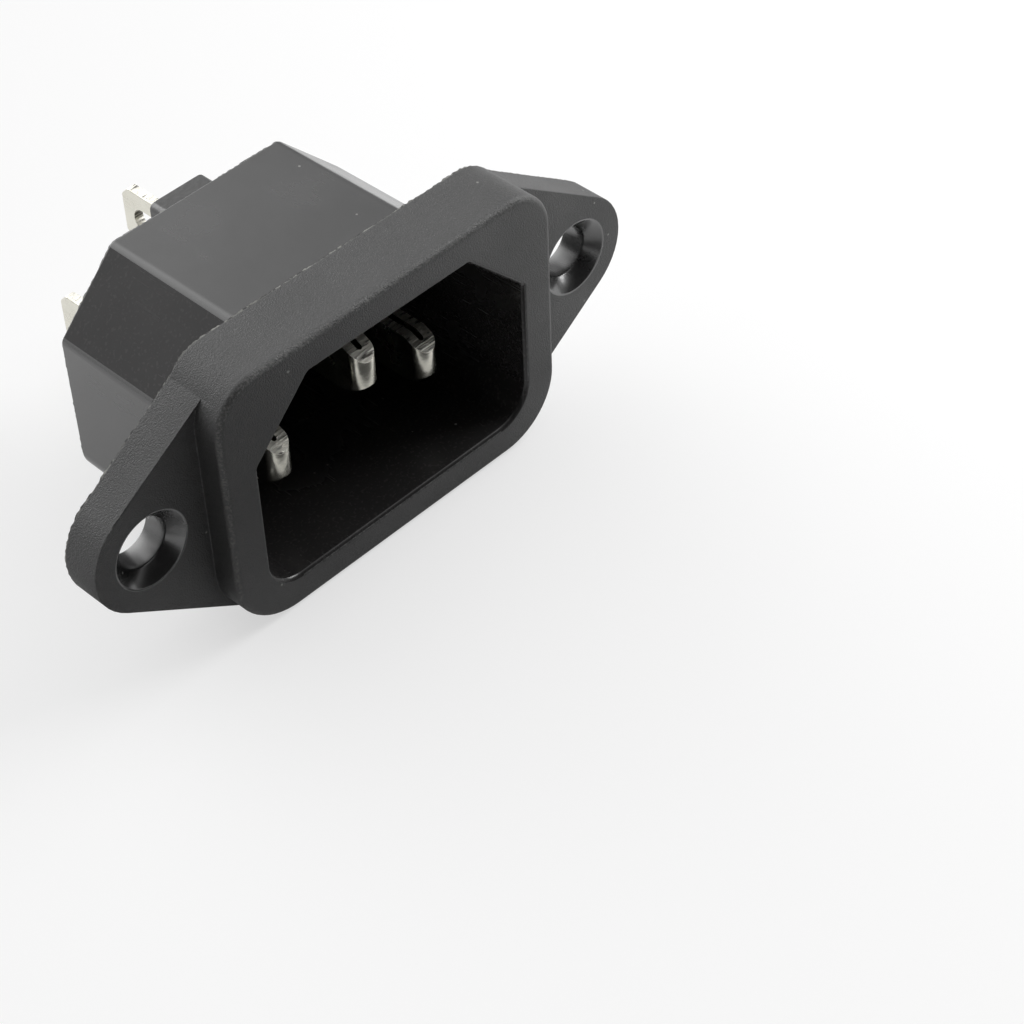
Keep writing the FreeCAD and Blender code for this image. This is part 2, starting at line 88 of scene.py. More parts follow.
# %% Camera
AIM = Vector((3.15, -12.64, -7.02)) * MM
DISTANCE = 189.33 * MM
AZIMUTH = math.radians(-44.41)
ELEVATION = math.radians(44.21)
ROLL = math.radians(-2.46)
SENSOR_WIDTH = 36
FOCAL_LENGTH = 96.94
NEAREST = 10 * MM

ahead = Vector((-math.sin(AZIMUTH) * math.cos(ELEVATION),
                math.cos(AZIMUTH) * math.cos(ELEVATION), -math.sin(ELEVATION)))
level = Vector((math.cos(AZIMUTH), math.sin(AZIMUTH), 0))
across = level * math.cos(ROLL) + level.cross(ahead) * math.sin(ROLL)
upright = across.cross(ahead)
camera = bpy.data.objects.new("camera", bpy.data.cameras.new("camera"))
camera.data.sensor_width = SENSOR_WIDTH
camera.data.lens = FOCAL_LENGTH
camera.data.clip_start = NEAREST
turn = Matrix((across, upright, -ahead)).transposed().to_4x4()
camera.matrix_world = Matrix.Translation(AIM - ahead * DISTANCE) @ turn
bpy.context.scene.collection.objects.link(camera)
bpy.context.scene.camera = camera
print("camera at mm:", [round(v / MM, 1) for v in camera.matrix_world.translation])

# %% [markdown]
# ## Outlines with rounded corners
#
# Every part of the moulding is an outline pushed along one direction: the collar, the
# barrel, the recess. The corners could be rounded later with a Bevel modifier, but a
# moulding has a different radius at each corner and tapers as it goes back. So an outline is
# kept as its sharp corners and their radii, and the rounded curve is worked out from them.
# Setting it in or out by a distance moves every edge by the same amount, which gives drafts,
# lead-ins and rounded rims with the same number of points each time.


# %% Rounded outlines
# steps in the arc of one corner
ARC = 8
BIG_ARC = 14
SMALL_ARC = 5
# smallest radius, for corners that look sharp
SHARP = 0.02


def rounded(corners, radii, steps):
    """Points of a convex outline, anticlockwise, with an arc at each corner."""
    points = []
    count = len(corners)
    for i, radius in enumerate(radii):
        here = Vector(corners[i])
        back = (Vector(corners[i - 1]) - here).normalized()
        on = (Vector(corners[(i + 1) % count]) - here).normalized()
        half = math.acos(max(-1.0, min(1.0, back.dot(on)))) / 2
        centre = here + (back + on).normalized() * (radius / math.sin(half))
        start = here + back * (radius / math.tan(half)) - centre
        sweep = math.pi - 2 * half
        for k in range(steps + 1):
            angle = sweep * k / steps
            points.append((centre.x + start.x * math.cos(angle) - start.y * math.sin(angle),
                           centre.y + start.x * math.sin(angle) + start.y * math.cos(angle)))
    return points


print("a square with corners of", ARC, "steps has",
      len(rounded([(-1, -1), (1, -1), (1, 1), (-1, 1)], [0.2] * 4, ARC)), "points")


# %% Outlines set in or out
def set_in(corners, radii, distance):
    """The same outline with every edge moved inwards (outwards if negative)."""
    count = len(corners)
    moved = []
    for i in range(count):
        here = Vector(corners[i])
        back = (here - Vector(corners[i - 1])).normalized()
        on = (Vector(corners[(i + 1) % count]) - here).normalized()
        normal_back = Vector((-back.y, back.x))
        normal_on = Vector((-on.y, on.x))
        along = (normal_back + normal_on) / (1 + normal_back.dot(normal_on))
        moved.append(tuple(here + along * distance))
    return moved, [max(r - distance, SHARP) for r in radii]


def ring(corners, radii, distance=0.0, steps=ARC):
    """Rounded outline at a given inset."""
    inner, small = set_in(corners, radii, distance)
    return rounded(inner, small, steps)


def rectangle(left, low, right, high):
    """Corners of an upright rectangle."""
    return [(left, low), (right, low), (right, high), (left, high)]


print("a square of side 2 set in by 0.5:", set_in(rectangle(-1, -1, 1, 1), [0.6] * 4, 0.5))

# %% [markdown]
# ## From outlines to solids
#
# `loft` joins a row of outlines into one closed mesh, with a flat face at each end. Its flat
# faces stay single polygons, which matters later: booleans and bevels work cleanly on large
# flat faces and badly on fans of thin triangles.
#
# The solids are then added together or cut with the Boolean modifier. It is slower than
# welding by hand, but it is how such a moulding is thought of: a collar, two ears and a
# barrel, less a recess and some holes.


# %% From outlines to solids
OVERLAP = 1.0
OVERRUN = 0.5


def place_x(u, v, w):
    return (w, u, v)


def place_y(u, v, w):
    return (u, w, v)


def place_z(u, v, w):
    return (u, v, w)


def placed(name, mesh):
    """New object with this mesh, in the scene."""
    piece = bpy.data.objects.new(name, mesh)
    bpy.context.scene.collection.objects.link(piece)
    return piece


def closed(name, bm):
    """New object from a closed bmesh, with its faces turned outwards."""
    bmesh.ops.recalc_face_normals(bm, faces=bm.faces)
    mesh = bpy.data.meshes.new(name)
    bm.to_mesh(mesh)
    bm.free()
    return placed(name, mesh)


def loft(name, stations, place=place_y):
    """Closed mesh through (position, outline) pairs; all outlines have equal point counts."""
    bm = bmesh.new()
    rings = []
    for at, outline in stations:
        rings.append([bm.verts.new(Vector(place(u, v, at)) * MM) for u, v in outline])
    for first, second in zip(rings[:-1], rings[1:]):
        for i in range(len(first)):
            j = (i + 1) % len(first)
            bm.faces.new((first[i], first[j], second[j], second[i]))
    bm.faces.new(rings[0])
    bm.faces.new(rings[-1])
    return closed(name, bm)


print("solids run into each other by", OVERLAP, "mm and cuts run out by", OVERRUN, "mm")


# %% Adding and cutting solids
SOLVER = "EXACT"


def settle(piece):
    """Replace a piece's mesh with what its modifiers make of it."""
    graph = bpy.context.evaluated_depsgraph_get()
    graph.update()
    made = bpy.data.meshes.new_from_object(piece.evaluated_get(graph))
    piece.modifiers.clear()
    old = piece.data
    piece.data = made
    bpy.data.meshes.remove(old)
    return piece


def combine(base, tools, operation):
    """Add ("UNION") or cut ("DIFFERENCE") each tool, and throw the tools away."""
    for tool in tools:
        step = base.modifiers.new("shape", "BOOLEAN")
        step.object = tool
        step.operation = operation
        step.solver = SOLVER
        settle(base)
        mesh = tool.data
        bpy.data.objects.remove(tool)
        bpy.data.meshes.remove(mesh)
    return base


print("solids are joined and cut with the", SOLVER, "solver")

# %% [markdown]
# ## The outside of the moulding
#
# Three shapes make the outside. The lozenge carries both ears and its tips are arcs round
# the screws. The collar stands proud of it, with small radii at the top and larger ones at
# the bottom, and its front rim is rolled over by half a millimetre. The barrel behind it
# tapers by under a degree, so that it leaves the mould.

# %% Ears
SCREW_X = 20.0
EAR_RADIUS = EAR_TIP - SCREW_X
EAR_SLOPE = math.radians(34.5)
EAR_FRONT = -3.0
EAR_HEIGHT = COLLAR_TOP - 0.3

slant = math.sin(EAR_SLOPE)
shoulder = SCREW_X + (EAR_RADIUS - EAR_HEIGHT * math.cos(EAR_SLOPE)) / slant
point = SCREW_X + EAR_RADIUS / slant
LOZENGE = ([(-point, 0), (-shoulder, -EAR_HEIGHT), (shoulder, -EAR_HEIGHT),
            (point, 0), (shoulder, EAR_HEIGHT), (-shoulder, EAR_HEIGHT)],
           [EAR_RADIUS, SHARP, SHARP, EAR_RADIUS, SHARP, SHARP])
ears = loft("ears", [(0.0, ring(*LOZENGE, steps=BIG_ARC)),
                     (EAR_FRONT, ring(*LOZENGE, steps=BIG_ARC))])
print("ears: radius %.2f mm round screws %.0f mm apart" % (EAR_RADIUS, 2 * SCREW_X))

# %% Collar
COLLAR_SIDE = 15.3
COLLAR_TOP_RADIUS = 3.8
COLLAR_LOW_RADIUS = 5.0
COLLAR_EDGE = 0.5
RIM_STEPS = 5

COLLAR = (rectangle(-COLLAR_SIDE, -COLLAR_TOP, COLLAR_SIDE, COLLAR_TOP),
          [COLLAR_LOW_RADIUS, COLLAR_LOW_RADIUS, COLLAR_TOP_RADIUS, COLLAR_TOP_RADIUS])
collar_stations = [(0.0, ring(*COLLAR, steps=BIG_ARC))]
for k in range(RIM_STEPS + 1):
    angle = math.pi / 2 * k / RIM_STEPS
    collar_stations.append((COLLAR_FRONT + COLLAR_EDGE * (1 - math.sin(angle)),
                            ring(*COLLAR, COLLAR_EDGE * (1 - math.cos(angle)), BIG_ARC)))
collar = loft("collar", collar_stations)
print("collar has", len(collar.data.polygons), "faces before the cuts")

# %% Barrel
BARREL_SIDE = 13.25
BARREL_TOP = 9.15
BARREL_BEVEL = 5.506
BARREL_BACK = 13.9
BARREL_EDGE = 1.0
BARREL_LOW = 2.5
BARREL_DRAFT = math.radians(0.9)


def inlet_outline(side, top, bevel):
    """Corners of a rectangle whose two upper corners are cut off."""
    return [(-side, -top), (side, -top), (side, top - bevel), (side - bevel, top),
            (bevel - side, top), (-side, top - bevel)]


BARREL = (inlet_outline(BARREL_SIDE, BARREL_TOP, BARREL_BEVEL),
          [BARREL_LOW, BARREL_LOW] + [BARREL_EDGE] * 4)
draft_in = math.tan(BARREL_DRAFT) * BARREL_BACK
barrel = loft("barrel", [(-OVERLAP, ring(*BARREL)), (0.0, ring(*BARREL)),
                         (BARREL_BACK, ring(*BARREL, draft_in))])
print("barrel draws in by %.2f mm on each side" % draft_in)

# %% [markdown]
# ## Blocks behind the barrel
#
# Each contact leaves the barrel through a block that holds it upright. The two lower blocks
# start just above the barrel's underside and the earth block hangs from its top.

# %% Terminal blocks
PIN_X = 7.0
BLOCK_SIDE = 2.3
EARTH_BLOCK_SIDE = 2.5
BLOCK_EDGE = 0.5
# lowest and highest z of the lower blocks and of the upper one
LOW_BLOCK = (-8.35, 1.85)
TOP_BLOCK = (-2.25, 7.95)
BLOCKS = [("line", -PIN_X, BLOCK_SIDE, LOW_BLOCK), ("neutral", PIN_X, BLOCK_SIDE, LOW_BLOCK),
          ("earth", 0.0, EARTH_BLOCK_SIDE, TOP_BLOCK)]

blocks = []
for name, middle, half, (low, high) in BLOCKS:
    outline = ring(rectangle(middle - half, low, middle + half, high), [BLOCK_EDGE] * 4,
                   steps=SMALL_ARC)
    blocks.append(loft(name + "_block", [(BARREL_BACK - OVERLAP, outline), (BLOCK_BACK, outline)]))
housing = combine(collar, [ears, barrel] + blocks, "UNION")
housing.name = "housing_moulding"
print("outside:", len(housing.data.polygons), "faces")

# %% [markdown]
# ## The recess and the slots for the contacts
#
# The recess takes the plug of a lead. It follows the barrel's outline at a constant wall and
# tapers the other way, with a fine lead-in at its mouth and a rounded edge round its floor.
# It could be left when the barrel is made, as a shell. A cutting solid is simpler, because
# the recess then has its own corners and draft, and the slots can be cut in the same way.

# %% Recess
RECESS_SIDE = 12.35
RECESS_TOP = 8.3
RECESS_BEVEL = 5.0
RECESS_LOW = 2.7
RECESS_EDGE = 0.6
RECESS_FLOOR = 11.5
RECESS_DRAFT = math.radians(0.6)
LEAD_IN = 0.25
# radius of the floor's edge, and how near the middle of its arc comes to wall and floor
FLOOR_EDGE = 0.3
FLOOR_TURN = 0.09

RECESS = (inlet_outline(RECESS_SIDE, RECESS_TOP, RECESS_BEVEL),
          [RECESS_LOW, RECESS_LOW] + [RECESS_EDGE] * 4)
taper = math.tan(RECESS_DRAFT)
depth = RECESS_FLOOR - COLLAR_FRONT
recess = loft("recess", [
    (COLLAR_FRONT - OVERRUN, ring(*RECESS, -LEAD_IN - OVERRUN)),
    (COLLAR_FRONT + LEAD_IN, ring(*RECESS, taper * LEAD_IN)),
    (RECESS_FLOOR - FLOOR_EDGE, ring(*RECESS, taper * (depth - FLOOR_EDGE))),
    (RECESS_FLOOR - FLOOR_TURN, ring(*RECESS, taper * depth + FLOOR_TURN)),
    (RECESS_FLOOR, ring(*RECESS, taper * depth + FLOOR_EDGE))])
print("recess is %.1f mm deep" % depth)

# %% Pin slots
LINE_Z = -2.45
EARTH_Z = 2.05
SLOT_HALF_WIDTH = 1.03
SLOT_HALF_HEIGHT = 2.03
SLOT_EDGE = 0.1
SLOT_ARC = 3

slots = []
for name, middle, height in (("line", -PIN_X, LINE_Z), ("neutral", PIN_X, LINE_Z),
                             ("earth", 0.0, EARTH_Z)):
    outline = ring(rectangle(middle - SLOT_HALF_WIDTH, height - SLOT_HALF_HEIGHT,
                             middle + SLOT_HALF_WIDTH, height + SLOT_HALF_HEIGHT),
                   [SLOT_EDGE] * 4, steps=SLOT_ARC)
    slots.append(loft(name + "_slot", [(RECESS_FLOOR - OVERLAP, outline),
                                       (BLOCK_BACK + OVERLAP, outline)]))
print(len(slots), "slots through", len(blocks), "blocks")

# %% [markdown]
# ## Screw holes and hollow ears
#
# Each ear has a hole for a sunk screw: a cone that turns into a cylinder. From behind the
# ears are cored out, so that the plastic keeps an even thickness and doesn't sink as it
# cools. What stays is a rim, a boss round the screw and the barrel. The hollow could be
# made by thickening a shell, but its outline is lines and one arc, so it is worked out and
# cut. A shallow core touches the barrel and a deeper one keeps a step away from it.

# %% Screw holes
HOLE_RADIUS = 1.95
SINK_RADIUS = 2.95
CIRCLE_POINTS = 64


def circle(x, radius):
    """Points of a circle round the middle line of the ears."""
    turns = [2 * math.pi * i / CIRCLE_POINTS for i in range(CIRCLE_POINTS)]
    return [(x + radius * math.cos(turn), radius * math.sin(turn)) for turn in turns]


screws = []
for side in (-1, 1):
    x = side * SCREW_X
    screws.append(loft("screw_hole", [
        (EAR_FRONT - OVERRUN, circle(x, SINK_RADIUS + OVERRUN)),
        (EAR_FRONT + (SINK_RADIUS - HOLE_RADIUS), circle(x, HOLE_RADIUS)),
        (OVERRUN, circle(x, HOLE_RADIUS))]))
print("screw holes: %.1f mm across, sunk to %.1f mm" % (2 * HOLE_RADIUS, 2 * SINK_RADIUS))

# %% Hollow backs of the ears
EAR_RIM = 1.1
ROOF_GAP = 0.4
BOSS_STEPS = 20
# gap to the barrel and depth of each core
CORE_STEPS = ((0.0, 0.4), (0.9, 2.0))


def ear_core(gap):
    """Outline of the core of the right ear, starting gap millimetres outside the barrel."""
    c, s = math.cos(EAR_SLOPE), slant
    wall = EAR_RADIUS - EAR_RIM
    side = BARREL_SIDE + gap
    inner = (SCREW_X * s + wall - side * s) / c
    bevel_z = BARREL_TOP - BARREL_BEVEL + (math.sqrt(2) - 1) * gap
    roof = BARREL_TOP - ROOF_GAP
    roof_x = side - roof + bevel_z
    turn_x = SCREW_X + (wall - roof * c) / s
    reach = math.sqrt(EAR_RADIUS ** 2 - wall ** 2)
    meet = Vector((wall * s - reach * c, wall * c + reach * s))
    start = math.atan2(meet.y, meet.x)
    sweep = 2 * (math.pi - start)
    points = [(side, -inner), (side, bevel_z), (roof_x, roof), (turn_x, roof)]
    for k in range(BOSS_STEPS + 1):
        angle = start + sweep * k / BOSS_STEPS
        points.append((SCREW_X + EAR_RADIUS * math.cos(angle), EAR_RADIUS * math.sin(angle)))
    return points


cores = []
for side in (1, -1):
    for gap, deep in CORE_STEPS:
        outline = [(side * x, z) for x, z in ear_core(gap)]
        cores.append(loft("ear_core", [(OVERRUN, outline), (-deep, outline)]))
housing = combine(housing, [recess] + slots + screws + cores, "DIFFERENCE")
print("moulding after the cuts:", len(housing.data.polygons), "faces")

# %% [markdown]
# ## Fine edges
#
# No moulded edge is knife sharp, and the thin highlight along each edge is what makes a
# black part readable. A Bevel modifier limited by angle rounds all the remaining sharp
# edges by a tenth of a millimetre.
#
# Behind the collar some edges are so close that their roundings cross. The outline of the
# flat face between them then crosses itself, and the triangles made from it stretch over the
# open recess. A narrower rounding would avoid that and lose the highlight. Instead each face
# whose triangles cover more than its own area is cut afresh along its outline, by a Delaunay
# triangulation, and only the triangles that its outline goes round are kept.


# %% Faces that cross themselves
EXTRA_AREA = 0.03
FLAT_WITHIN = 0.02
SAME_SPOT = 1e-5


def winding(spot, loop):
    """How many times a closed loop goes round a spot, positive anticlockwise."""
    count = 0
    for (ax, ay), (bx, by) in zip(loop, loop[1:] + loop[:1]):
        left = (bx - ax) * (spot.y - ay) - (spot.x - ax) * (by - ay)
        if ay <= spot.y < by and left > 0:
            count += 1
        elif by <= spot.y < ay and left < 0:
            count -= 1
    return count


def crossed_faces(bm):
    """Faces whose triangles cover more than their own area, and the area covered, in mm2."""
    covered = {}
    for loops in bm.calc_loop_triangles():
        a, b, c = [loop.vert.co / MM for loop in loops]
        face = loops[0].face
        covered[face] = covered.get(face, 0) + (b - a).cross(c - a).length / 2
    return [(face, area) for face, area in covered.items()
            if len(face.verts) > 3 and area - face.calc_area() / MM / MM >= EXTRA_AREA]


print("a face is crossed when its triangles cover", EXTRA_AREA, "mm2 too much")


# %% Cutting such faces afresh
def cut_afresh(bm, face):
    """Put triangles in a flat face's place, inside its own outline."""
    up, start = face.normal.copy(), face.verts[0].co.copy()
    right = up.orthogonal().normalized()
    ahead = up.cross(right)
    corners = list(face.verts)
    flat = [((v.co - start).dot(right) / MM, (v.co - start).dot(ahead) / MM) for v in corners]
    spots, _, triangles, origins, _, _ = geometry.delaunay_2d_cdt(
        [Vector(corner) for corner in flat], [], [list(range(len(flat)))], 0, SAME_SPOT)
    made = [corners[origins[i][0]] if origins[i] else
            bm.verts.new(start + (right * spot.x + ahead * spot.y) * MM)
            for i, spot in enumerate(spots)]
    bm.faces.remove(face)
    for triangle in triangles:
        middle = sum((spots[i] for i in triangle), Vector((0, 0))) / len(triangle)
        new_corners = [made[i] for i in triangle]
        if winding(middle, flat) > 0 and not bm.faces.get(new_corners):
            bm.faces.new(new_corners)


def mend_flats(piece):
    """Cut afresh every crossed face of a piece that is flat."""
    bm = bmesh.new()
    bm.from_mesh(piece.data)
    mended = []
    for face, area in crossed_faces(bm):
        up, start = face.normal, face.verts[0].co
        if max(abs((v.co - start).dot(up)) for v in face.verts) <= FLAT_WITHIN * MM:
            cut_afresh(bm, face)
            mended.append(round(area, 2))
    bm.normal_update()
    bm.to_mesh(piece.data)
    bm.free()
    print("faces cut afresh, by the area in mm2 that their triangles had:", mended)


# %% Fine edge rounding
HOUSING_ROUND = 0.1
SHARP_ANGLE = 32


def soften(piece, width, segments=2, angle=SHARP_ANGLE):
    """Round every edge sharper than the angle, and shade smoothly across the rounding."""
    bevel = piece.modifiers.new("fine edges", "BEVEL")
    bevel.width = width * MM
    bevel.segments = segments
    bevel.limit_method = "ANGLE"
    bevel.angle_limit = math.radians(angle)
    bevel.use_clamp_overlap = False
    bevel.miter_outer = "MITER_ARC"
    settle(piece)
    mend_flats(piece)
    for face in piece.data.polygons:
        face.use_smooth = True
    piece.data.set_sharp_from_angle(angle=math.radians(angle))
    weigh = piece.modifiers.new("weighted normals", "WEIGHTED_NORMAL")
    weigh.keep_sharp = True
    return settle(piece)


soften(housing, HOUSING_ROUND)
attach(housing, "root")
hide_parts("housing")
print("finished moulding:", len(housing.data.polygons), "faces")

# %% [markdown]
# ## Flash on the parting edges
#
# Where two halves of a mould meet, a little plastic squeezes out and tears off, which leaves
# a thin, ragged, whitish fin. A bump texture can't break an outline, so the fin is a real
# ribbon: it follows the edge just inside the outline and its height is a noise along the
# way. One runs round the back edge of the collar and ears, another round the barrel's rear.


# %% Lines that the fins follow
LINE_RAYS = 3600
FIN_STEP = 0.11


def outermost(outlines):
    """Outline of the union of outlines that all surround the origin."""
    points = []
    for k in range(LINE_RAYS):
        angle = 2 * math.pi * k / LINE_RAYS
        ray = Vector((math.cos(angle), math.sin(angle)))
        reach = 0.0
        for outline in outlines:
            for i, point in enumerate(outline):
                side_a = ray.cross(Vector(outline[i - 1]))
                side_b = ray.cross(Vector(point))
                if side_a <= 0 < side_b:
                    share = side_a / (side_a - side_b)
                    reach = max(reach, Vector(outline[i - 1]).lerp(Vector(point), share).dot(ray))
        points.append(ray * reach)
    return points


def evenly(points, spacing):
    """The closed line through the points, again with about equal steps."""
    lengths = [0.0]
    for i, point in enumerate(points):
        lengths.append(lengths[-1] + (points[(i + 1) % len(points)] - point).length)
    count = int(lengths[-1] / spacing)
    made, i = [], 0
    for k in range(count):
        along = lengths[-1] * k / count
        while lengths[i + 1] < along:
            i += 1
        share = (along - lengths[i]) / max(lengths[i + 1] - lengths[i], 1e-9)
        made.append(points[i].lerp(points[(i + 1) % len(points)], share))
    return made


panel_line = evenly(outermost([ring(*LOZENGE, steps=BIG_ARC), ring(*COLLAR, steps=BIG_ARC)]),
                    FIN_STEP)
rear_line = evenly([Vector(p) for p in ring(*BARREL, draft_in)], FIN_STEP)
print("points round the back edges:", len(panel_line), "and", len(rear_line))

# %% Ragged fins
FIN_ROOT = 0.13
FIN_FOOT = 0.08
FIN_TOP = (0.05, 0.02)
FIN_SHORTEST = 0.08
FIN_MIDDLE, RAGGEDNESS, PATCHINESS = 0.42, 0.9, 0.6
TORN_PER_MM = 3.1
PATCHES_PER_MM = 0.5
OTHER_NOISE = 7


def edge_flash(name, points, at, inset, tallest):
    """Closed ribbon along an outline, rooted below y = at, with a ragged upper edge."""
    bm = bmesh.new()
    rows = []
    count = len(points)
    for k, point in enumerate(points):
        on = (points[(k + 2) % count] - points[k - 2]).normalized()
        inward = Vector((-on.y, on.x))
        ragged = noise.noise(Vector((point.x * TORN_PER_MM, point.y * TORN_PER_MM, at)))
        patchy = noise.noise(Vector((point.x * PATCHES_PER_MM, point.y * PATCHES_PER_MM,
                                     at + OTHER_NOISE)))
        share = FIN_MIDDLE + RAGGEDNESS * ragged + PATCHINESS * patchy
        height = tallest * min(1.0, max(FIN_SHORTEST, share))
        row = []
        for deep, y in ((inset, at - FIN_ROOT), (inset + FIN_FOOT, at - FIN_ROOT),
                        (inset + FIN_TOP[0], at + height), (inset + FIN_TOP[1], at + height)):
            place = point + inward * deep
            row.append(bm.verts.new(Vector((place.x, y, place.y)) * MM))
        rows.append(row)
    for k in range(count):
        for i in range(4):
            j = (i + 1) % 4
            bm.faces.new((rows[k - 1][i], rows[k - 1][j], rows[k][j], rows[k][i]))
    piece = closed(name, bm)
    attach(piece, "root")
    print(name, len(piece.data.polygons), "faces")
    return piece


flashes = [edge_flash("panel_edge_flash", panel_line, 0.0, inset=0.02, tallest=0.15),
           edge_flash("barrel_rear_flash", rear_line, BARREL_BACK, inset=0.05, tallest=0.1)]

# %% [markdown]
# ## Folded contacts
#
# Each contact is one strip, folded double so that its nose is a smooth bend. Its long leaf
# goes on through the block and widens into the solder tab, and its short leaf stops just
# outside. A curve with thickness could follow the fold, but the bend, the two leaves and the
# gap between them are simply one outline seen from above, so it is lofted upwards. The
# nose is then cut to a bevel above and below, as the stamping die cuts it, and a steeper cut
# takes off the upper edge of its tip.

# %% The fold, seen from above
STRIP = 0.8
HALF_PIN = 1.0
SHORT_LEAF_END = BLOCK_BACK + 1.0
LONG_LEAF_END = BLOCK_BACK + 0.3
LEAF_CORNER = 0.12
INNER_STEPS = 12
OUTER_STEPS = 32


def fold_outline(nose):
    """The strip seen from above: an outer bend, two leaves and the gap between them."""
    centre = nose + HALF_PIN
    inner = HALF_PIN - STRIP
    points = [(HALF_PIN, LONG_LEAF_END), (inner, LONG_LEAF_END)]
    for k in range(INNER_STEPS + 1):
        angle = math.pi * k / INNER_STEPS
        points.append((inner * math.cos(angle), centre - inner * math.sin(angle)))
    points += [(-inner, SHORT_LEAF_END - LEAF_CORNER),
               (-inner - LEAF_CORNER, SHORT_LEAF_END), (-HALF_PIN, SHORT_LEAF_END)]
    for k in range(OUTER_STEPS + 1):
        angle = math.pi * k / OUTER_STEPS
        points.append((-HALF_PIN * math.cos(angle), centre - HALF_PIN * math.sin(angle)))
    return points


print("points of one fold:", len(fold_outline(0)))

# %% The folded strip
HALF_HEIGHT = 2.0
NOSE_RISE = 0.8
NOSE_RUN = 1.65
NOSE_LIP = 0.25
WEDGE_HALF = 3
WEDGE_REACH = 1


def folded_strip(name, nose):
    """Strip of full height, with its nose cut to a bevel above and below."""
    outline = fold_outline(nose)
    strip = loft(name, [(-HALF_HEIGHT, outline), (HALF_HEIGHT, outline)], place_z)
    wedges = []
    brow = HALF_HEIGHT - NOSE_RISE
    top = HALF_HEIGHT + WEDGE_REACH
    steep = WEDGE_REACH * NOSE_RISE / NOSE_RUN
    for up in (1, -1):
        corners = [(nose - WEDGE_REACH, up * (brow - steep)),
                   (nose + NOSE_RUN, up * HALF_HEIGHT), (nose + NOSE_RUN, up * top),
                   (nose - WEDGE_REACH, up * top)]
        wedges.append(loft("wedge", [(-WEDGE_HALF, corners), (WEDGE_HALF, corners)], place_x))
    corners = [(nose - WEDGE_REACH, brow - NOSE_LIP - WEDGE_REACH),
               (nose + WEDGE_REACH, brow - NOSE_LIP + WEDGE_REACH),
               (nose + WEDGE_REACH, top), (nose - WEDGE_REACH, top)]
    half = WEDGE_HALF + 0.2
    wedges.append(loft("lip", [(-half, corners), (half, corners)], place_x))
    return combine(strip, wedges, "DIFFERENCE")


print("nose bevels at %.0f degrees" % math.degrees(math.atan(NOSE_RISE / NOSE_RUN)))

# %% [markdown]
# ### Shoulder and solder tab
#
# Behind its block the long leaf is wider: first a shoulder that rests on the block, then a tab
# with clipped corners and a long eye for the wire. The whole blank could be one outline, but
# the punch draws the edges of one face over, so shoulder and tab are lofted through a few
# outlines that draw in along a quarter of a circle. They are then joined, and the eye is cut.

# %% Flat blanks
ROLL_OVER = 0.16
ROLL_STEPS = 4


def plate(name, corners, radii):
    """Flat blank in the long leaf's plane: one face's edges are drawn over by the punch."""
    inner = HALF_PIN - STRIP
    stations = [(HALF_PIN, ring(corners, radii, steps=SMALL_ARC))]
    for k in range(ROLL_STEPS + 1):
        angle = math.pi / 2 * k / ROLL_STEPS
        stations.append((inner + ROLL_OVER * (1 - math.sin(angle)),
                         ring(corners, radii, ROLL_OVER * (1 - math.cos(angle)), SMALL_ARC)))
    return loft(name, stations, place_x)


print("edges drawn over by", ROLL_OVER, "mm")

# %% Solder tab
SHOULDER_END = BLOCK_BACK + 1.4
SHOULDER_HALF = 2.85
TAB_START = BLOCK_BACK + 0.4
TAB_HALF = 2.35
TAB_CORNER = 0.75
TAB_ROUND = 0.3
EYE_HALF = 1.025
EYE_STRAIGHT = 0.725
EYE_SET = 2.95
EYE_STEPS = 16


def solder_tab(name, drop, end):
    """Shoulder against the block, tab with clipped corners, and a long eye for the wire."""
    piece = plate(name, rectangle(BLOCK_BACK, -SHOULDER_HALF - drop,
                                  SHOULDER_END, SHOULDER_HALF - drop), [0.06, 0.15, 0.15, 0.06])
    low, high = -TAB_HALF - drop, TAB_HALF - drop
    tab = plate("tab", [(TAB_START, low), (end - TAB_CORNER, low), (end, low + TAB_CORNER),
                        (end, high - TAB_CORNER), (end - TAB_CORNER, high), (TAB_START, high)],
                [0.05] + [TAB_ROUND] * 4 + [0.05])
    combine(piece, [tab], "UNION")
    middle = end - EYE_SET
    eye = []
    for along, start in ((EYE_STRAIGHT, -math.pi / 2), (-EYE_STRAIGHT, math.pi / 2)):
        for k in range(EYE_STEPS + 1):
            angle = start + math.pi * k / EYE_STEPS
            eye.append((middle + along + EYE_HALF * math.cos(angle),
                        -drop + EYE_HALF * math.sin(angle)))
    return combine(piece, [loft("eye", [(-1, eye), (2, eye)], place_x)], "DIFFERENCE")


print("eye of %.2f by %.2f mm" % (2 * EYE_HALF, 2 * (EYE_HALF + EYE_STRAIGHT)))

# %% Put each contact together
# name, x, middle height, and how far the tab sits below the middle
CONTACTS = [("line", -PIN_X, LINE_Z, 0.8), ("neutral", PIN_X, LINE_Z, 0.8),
            ("earth", 0.0, EARTH_Z, -0.2)]
CONTACT_ROUND = 0.05
CONTACT_ANGLE = 28

contacts = []
for name, x, z, drop in CONTACTS:
    nose, end = span(name + "_pin", "y")
    piece = combine(folded_strip(name + "_contact", nose), [solder_tab("tab", drop, end)], "UNION")
    for corner in piece.data.vertices:
        corner.co += Vector((x, 0, z)) * MM
    soften(piece, CONTACT_ROUND, angle=CONTACT_ANGLE)
    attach(piece, "root")
    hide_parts(name + "_pin")
    contacts.append(piece)
    print(piece.name, len(piece.data.polygons), "faces, nose at y = %.2f" % nose)

# %% [markdown]
# ## Shader groups
#
# Several finishes share the same effects: a spark-eroded grain, long drag lines, whitened
# edges and a little dust. An effect could be copied into every material, but then a change
# has to be made many times. Here each one is a node group with named inputs. All of them
# measure in millimetres on the object itself, so the grain keeps its size everywhere.


